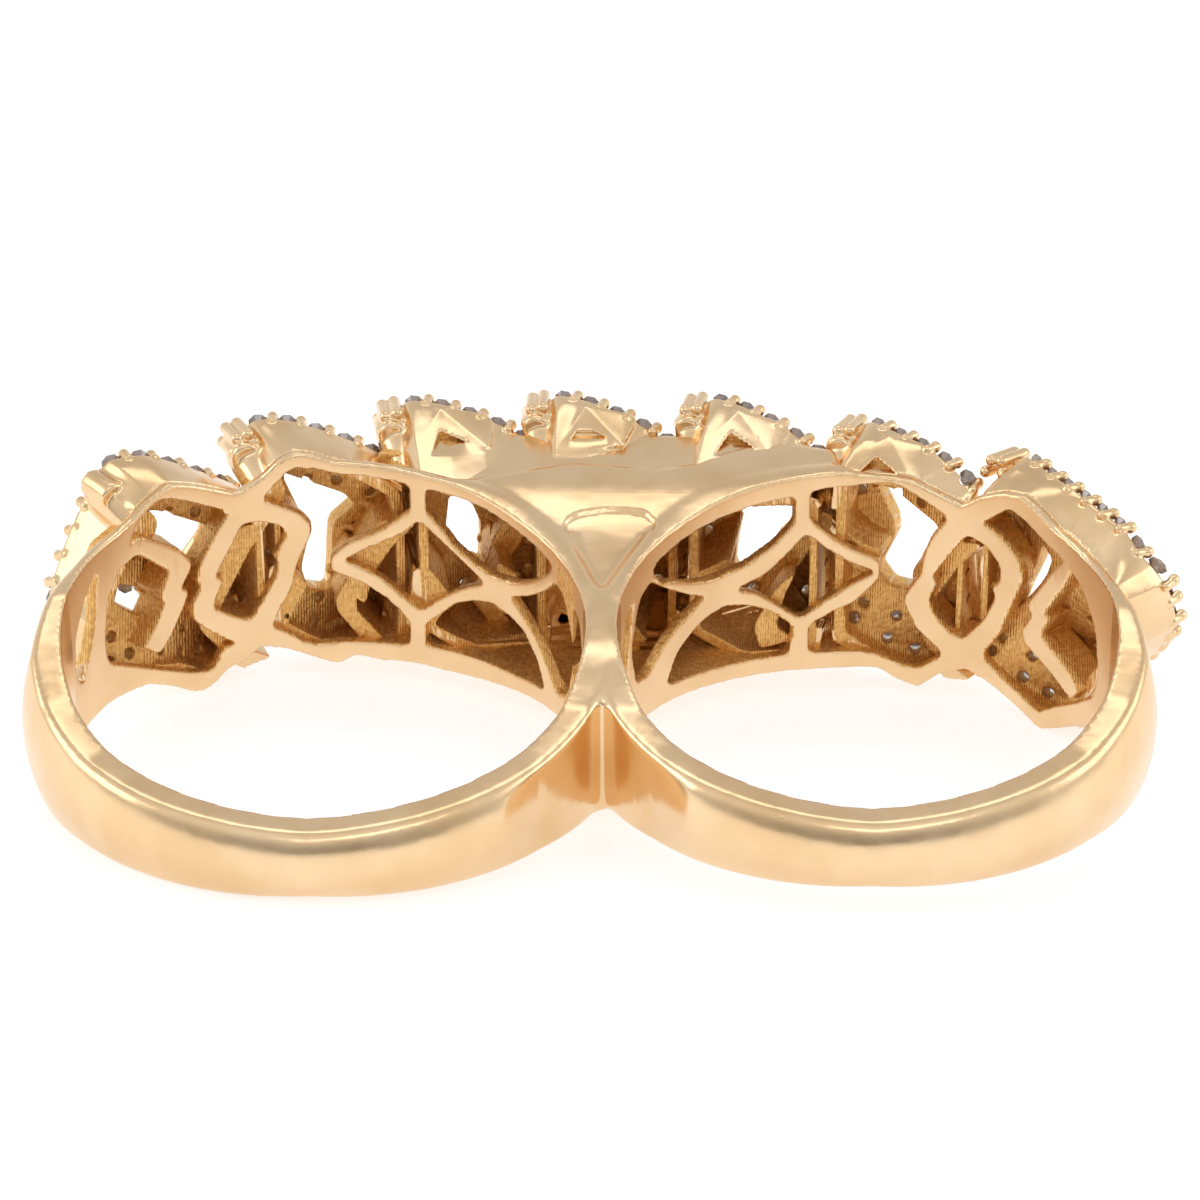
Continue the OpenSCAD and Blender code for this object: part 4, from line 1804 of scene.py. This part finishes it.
    def add_rod(
        self, metal: Array, lattice: Lattice, foot: Array, tip: Array, radius: float,
        blend: float, sign: float = 1.0,
    ) -> None:
        """Melt one round rod into the metal, or drill it out, only where it reaches.

        Args:
            metal: the sampled distance, changed in place.
            lattice: where it is sampled.
            foot: one end, in lattice millimetres.
            tip: the other end.
            radius: the rod's radius.
            blend: radius of the fillet.
            sign: 1 to add and -1 to drill.
        """
        pad = radius + 3 * blend + 2 * lattice.step
        low = np.minimum(foot, tip) - pad
        high = np.maximum(foot, tip) + pad
        cuts = []
        for k in range(3):
            a = int(max(0, math.floor((low[k] - lattice.low[k]) / lattice.step)))
            b = int(min(metal.shape[k], math.ceil((high[k] - lattice.low[k]) / lattice.step)))
            if b <= a:
                return
            cuts.append(slice(a, b))
        x, y, z = lattice.axes()
        rod = rod_distance(x[cuts[0]], y[:, cuts[1]], z[:, :, cuts[2]], foot, tip) - radius
        box = tuple(cuts)
        if sign > 0:
            metal[box] = smooth_min(metal[box], rod, blend)
        else:
            metal[box] = smooth_max(metal[box], -rod, blend)

    def lattice(self) -> Lattice:
        """Box the link in.

        Returns:
            The samples that hold the whole link.
        """
        across, up = np.array(self.outline()).T
        tip = 0.0 if self.free_left else -self.tip_room * self.shop.sizes.link_w / 2
        left = min(float(across.min()), tip) - self.margin
        low = (left, -self.depth - self.back_room, float(up.min()) - self.margin)
        high = (float(across.max()) + self.margin, self.front_room, float(up.max()) + self.margin)
        return Lattice(low, high, self.step)

    def drill(self, metal: Array, lattice: Lattice) -> None:
        """Drill a hole and a seat for each stone.

        Args:
            metal: the sampled distance, changed in place.
            lattice: where it is sampled.
        """
        s = self.shop.sizes
        wide, high = self.drill_lean_from
        for a, b in self.stone_spots():
            spot, out = self.facing(a, b)
            foot = spot - out * (s.plate_t + self.drill_past)
            foot[0] -= self.drill_lean / 2 * np.sign(a) * (abs(a) > wide * s.link_w / 2)
            foot[2] -= self.drill_lean * np.sign(b) * (abs(b) > high * s.link_h / 2)
            side = self.sides(*(np.array([c]) for c in foot))[0]
            if side >= -s.link_wall - self.drill_margin:
                foot = spot - out * self.drill_short
            top = spot + out * self.drill_top
            low_seat, high_seat = (spot + out * h for h in self.seat)
            self.add_rod(metal, lattice, foot, top, self.drill_r, self.hole_fillet, -1)
            self.add_rod(metal, lattice, low_seat, high_seat, self.seat_r, self.seat_fillet, -1)

    def set_prongs(self, metal: Array, lattice: Lattice) -> None:
        """Melt the prongs on.

        Args:
            metal: the sampled distance, changed in place.
            lattice: where it is sampled.
        """
        for a, b, kind in self.prong_spots():
            spot, out = self.facing(a, b)
            tip = spot + out * kind.height + np.array([0.0, 0.0, -kind.lean * np.sign(b)])
            ball = out * self.ball_half
            foot = spot - out * kind.root
            self.add_rod(metal, lattice, foot, tip, kind.radius, self.prong_fillet)
            self.add_rod(metal, lattice, tip - ball, tip + ball, self.ball_r, self.ball_fillet)
        if 0 < self.number < len(LINK_PLANS) - 2:
            stem, ball_r = self.tip_prong
            up = np.array([0.0, self.ball_half, 0.0])
            for a, b in self.percent(TIP_PRONGS):
                spot = np.array([a, self.tip_depth, b])
                root = spot + np.array(self.tip_root)
                self.add_rod(metal, lattice, root, spot, stem, self.prong_fillet)
                self.add_rod(metal, lattice, spot, spot + up, ball_r, self.hole_fillet)

    def build(self) -> list[bpy.types.Object]:
        """Make the link and its stones.

        Returns:
            The two pieces.
        """
        s = self.shop.sizes
        lattice = self.lattice()
        u, n, v = lattice.axes()
        metal = self.metal(u, n, v)
        if 1 < self.number < len(LINK_PLANS) - 1:
            metal = self.peak(metal, u, n, v)
        metal = metal.astype(np.float32)
        x, y = self.ring_plan(u, n)
        for hoop in self.shop.hoops:
            wall = hoop.radius + s.gallery_t - self.bore_clearance
            metal = np.maximum(metal, wall - hoop.radial(x, y))
        self.drill(metal, lattice)
        self.set_prongs(metal, lattice)
        points, faces = lattice.skin(metal)
        marks = self.marks(points[faces].mean(axis=1))
        name = f"link_{self.number + 1}"
        gold = self.shop.finishes.gold
        link = self.shop.piece(name, self.to_ring(points), faces[:, ::-1], gold, marks)
        self.shop.thin(link, self.triangles)
        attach(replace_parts(link, "cast_body"), "root")
        return [link, self.stones(name + "_stones")]

    def marks(self, centre: Array) -> Array:
        """Choose the finish of each face: the rough cast skin, whose deeper amber base colour is
        painted shade, inside the hollow and where the ends of two links meet.

        Args:
            centre: middle of each face, in the link's own axes.

        Returns:
            One slot number a face.
        """
        s = self.shop.sizes
        u, n, v = centre[:, 0], centre[:, 1], centre[:, 2]
        face = self.lift(u, v)
        down = np.clip((face - n) / self.depth, 0.0, 1.0)
        flat = self.flat.read(u / (1 - self.narrowing * down), v)
        within = np.maximum(flat, self.sides(u, n, v)) < -self.cast_shade_skin
        inner = within & (n < face - self.cast_shade_under)
        wide, deep, high = self.strap
        ends = (np.abs(u) > wide * s.link_w / 2) & (np.abs(v) < high * s.link_h / 2)
        strap = ends & (n < -deep)
        if self.free_left:
            strap &= u > 0
        if self.free_right:
            strap &= u < 0
        # the hollow and the overlapped ends get the cast skin with its painted amber shade
        return np.where(inner | strap, Metal.CAST.value, Metal.POLISHED.value)

    def stones(self, name: str) -> bpy.types.Object:
        """Set the link's cut stones.

        Args:
            name: the piece's name.

        Returns:
            The stones, as one joined piece.
        """
        shape, faces = CutStone().cut(self.shop.sizes.stone_d / 2)
        points, all_faces = [], []
        for k, (a, b) in enumerate(self.stone_spots()):
            spot, out = self.facing(a, b)
            side = np.cross(out, [0.0, 0.0, 1.0])
            side /= np.linalg.norm(side)
            up = np.cross(side, out)
            points.append(spot + out * self.stone_lift + shape[:, :1] * side + shape[:, 1:2] * up
                          + shape[:, 2:] * out)
            all_faces.append(faces + k * len(shape))
        thing = self.shop.piece(
            name, self.to_ring(np.concatenate(points)), np.concatenate(all_faces),
            [self.shop.finishes.stone], smooth=False,
        )
        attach(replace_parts(thing, "pave_stones"), "root")
        return thing


@dataclass(frozen=True)
class Studio:
    """Camera, table and soft light.

    The camera's place is held to the ring's own axes, in millimetres. The sky is a grey tone by
    how high a direction looks, from 0 to 1, and each lamp has its place and size in metres and
    the glow of its face, where 1 is a white that fills the exposure.
    """

    elevation: float = math.radians(31.72)
    yaw: float = math.radians(-1.41)
    roll: float = math.radians(-0.396)
    distance: float = 191.472
    pixels_per_mm: float = 26.03
    across: float = -0.063
    above: float = 3.976
    sensor: float = 36.0
    frame_px: float = 1200.0
    near: float = 0.01
    table_half: float = 3.0
    zenith: Triple = (0.0, 0.5, 0.87)
    sky: tuple = ((0.24, 0.03), (0.31, 0.3), (0.4, 0.6), (0.55, 0.82), (0.8, 0.9), (1.0, 0.62))
    lamps: tuple = (
        ("ceiling", (0.0, 0.2, 0.5), (0.4, 0.16), 1.25),
        ("left_wall", (-0.55, -0.05, 0.25), (0.4, 0.3), 1.5),
        ("right_wall", (0.55, 0.0, 0.25), (0.35, 0.3), 1.2),
        ("front", (0.1, -0.45, 0.45), (0.35, 0.14), 1.3),
    )

    def camera(self, pose: RestPose) -> None:
        """Put the camera where the photograph's was.

        Args:
            pose: how the ring lies.
        """
        f = Vector((
            math.sin(self.yaw) * math.cos(self.elevation),
            math.cos(self.yaw) * math.cos(self.elevation),
            -math.sin(self.elevation),
        ))
        right = Vector((math.cos(self.yaw), -math.sin(self.yaw), 0.0))
        up = right.cross(f)
        c, s = math.cos(self.roll), math.sin(self.roll)
        right, up = c * right + s * up, c * up - s * right
        place = (-self.distance * f + self.across * right + self.above * up) * MM
        local = Matrix((
            (right.x, up.x, -f.x, place.x),
            (right.y, up.y, -f.y, place.y),
            (right.z, up.z, -f.z, place.z),
            (0.0, 0.0, 0.0, 1.0),
        ))
        lens = bpy.data.cameras.new("camera")
        lens.sensor_width = self.sensor
        lens.lens = self.sensor * self.pixels_per_mm * self.distance / self.frame_px
        lens.clip_start = self.near
        view = bpy.data.objects.new("camera", lens)
        view.matrix_world = pose.matrix() @ local
        bpy.context.scene.collection.objects.link(view)
        bpy.context.scene.camera = view

    def table(self) -> None:
        """Lay the glowing table top."""
        mesh = bpy.data.meshes.new("table")
        half = self.table_half
        corners = [(-half, -half, 0), (half, -half, 0), (half, half, 0), (-half, half, 0)]
        mesh.from_pydata(corners, [], [(0, 1, 2, 3)])
        mesh.materials.append(GlowingTable().build())
        top = bpy.data.objects.new("table", mesh)
        bpy.context.scene.collection.objects.link(top)

    def lamp(self, name: str, place: Triple, size: Pair, glow: float) -> None:
        """Hang one soft box that points at the ring.

        Args:
            name: the lamp's name.
            place: where it hangs.
            size: its width and height.
            glow: how bright its face is.
        """
        light = bpy.data.lights.new(name, "AREA")
        light.shape = "RECTANGLE"
        light.size, light.size_y = size
        light.energy = glow * math.pi * size[0] * size[1]
        thing = bpy.data.objects.new(name, light)
        thing.location = place
        thing.rotation_euler = (Vector() - Vector(place)).to_track_quat("-Z", "Y").to_euler()
        bpy.context.scene.collection.objects.link(thing)

    def light(self) -> None:
        """Light the ring from a grey room and large soft boxes."""
        world = bpy.data.worlds.new("studio")
        bpy.context.scene.world = world
        world.use_nodes = True
        tree = world.node_tree
        back = tree.nodes["Background"]
        where = tree.nodes.new("ShaderNodeTexCoord")
        toward = tree.nodes.new("ShaderNodeVectorMath")
        toward.operation = "DOT_PRODUCT"
        toward.inputs[1].default_value = self.zenith
        tree.links.new(where.outputs["Generated"], toward.inputs[0])
        half = tree.nodes.new("ShaderNodeMapRange")
        half.inputs["From Min"].default_value = -1.0
        tree.links.new(toward.outputs["Value"], half.inputs["Value"])
        ramp = tree.nodes.new("ShaderNodeValToRGB")
        set_stops(ramp.color_ramp, [(at, (tone, tone, tone, 1.0)) for at, tone in self.sky])
        tree.links.new(half.outputs["Result"], ramp.inputs["Fac"])
        tree.links.new(ramp.outputs["Color"], back.inputs["Color"])
        back.inputs["Strength"].default_value = 1.0
        for lamp in self.lamps:
            self.lamp(*lamp)
        bpy.context.scene.view_settings.view_transform = "Standard"

    def build(self, pose: RestPose) -> None:
        """Set the whole studio up.

        Args:
            pose: how the ring lies.
        """
        self.camera(pose)
        self.table()
        self.light()


def main() -> None:
    """Build the ring, dress it and set the studio."""
    logging.basicConfig(level=logging.INFO, format="%(message)s")
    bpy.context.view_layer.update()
    sizes = RingSizes()
    pose = RestPose.from_record(frame["record"], sizes)
    shop = Workshop(sizes, pose, Finishes().build(), ring_hoops(sizes))
    Studio().build(pose)
    Body(shop).build()
    for number, plan in enumerate(LINK_PLANS):
        Link(shop, number, plan).build()


if __name__ == "__main__":
    main()
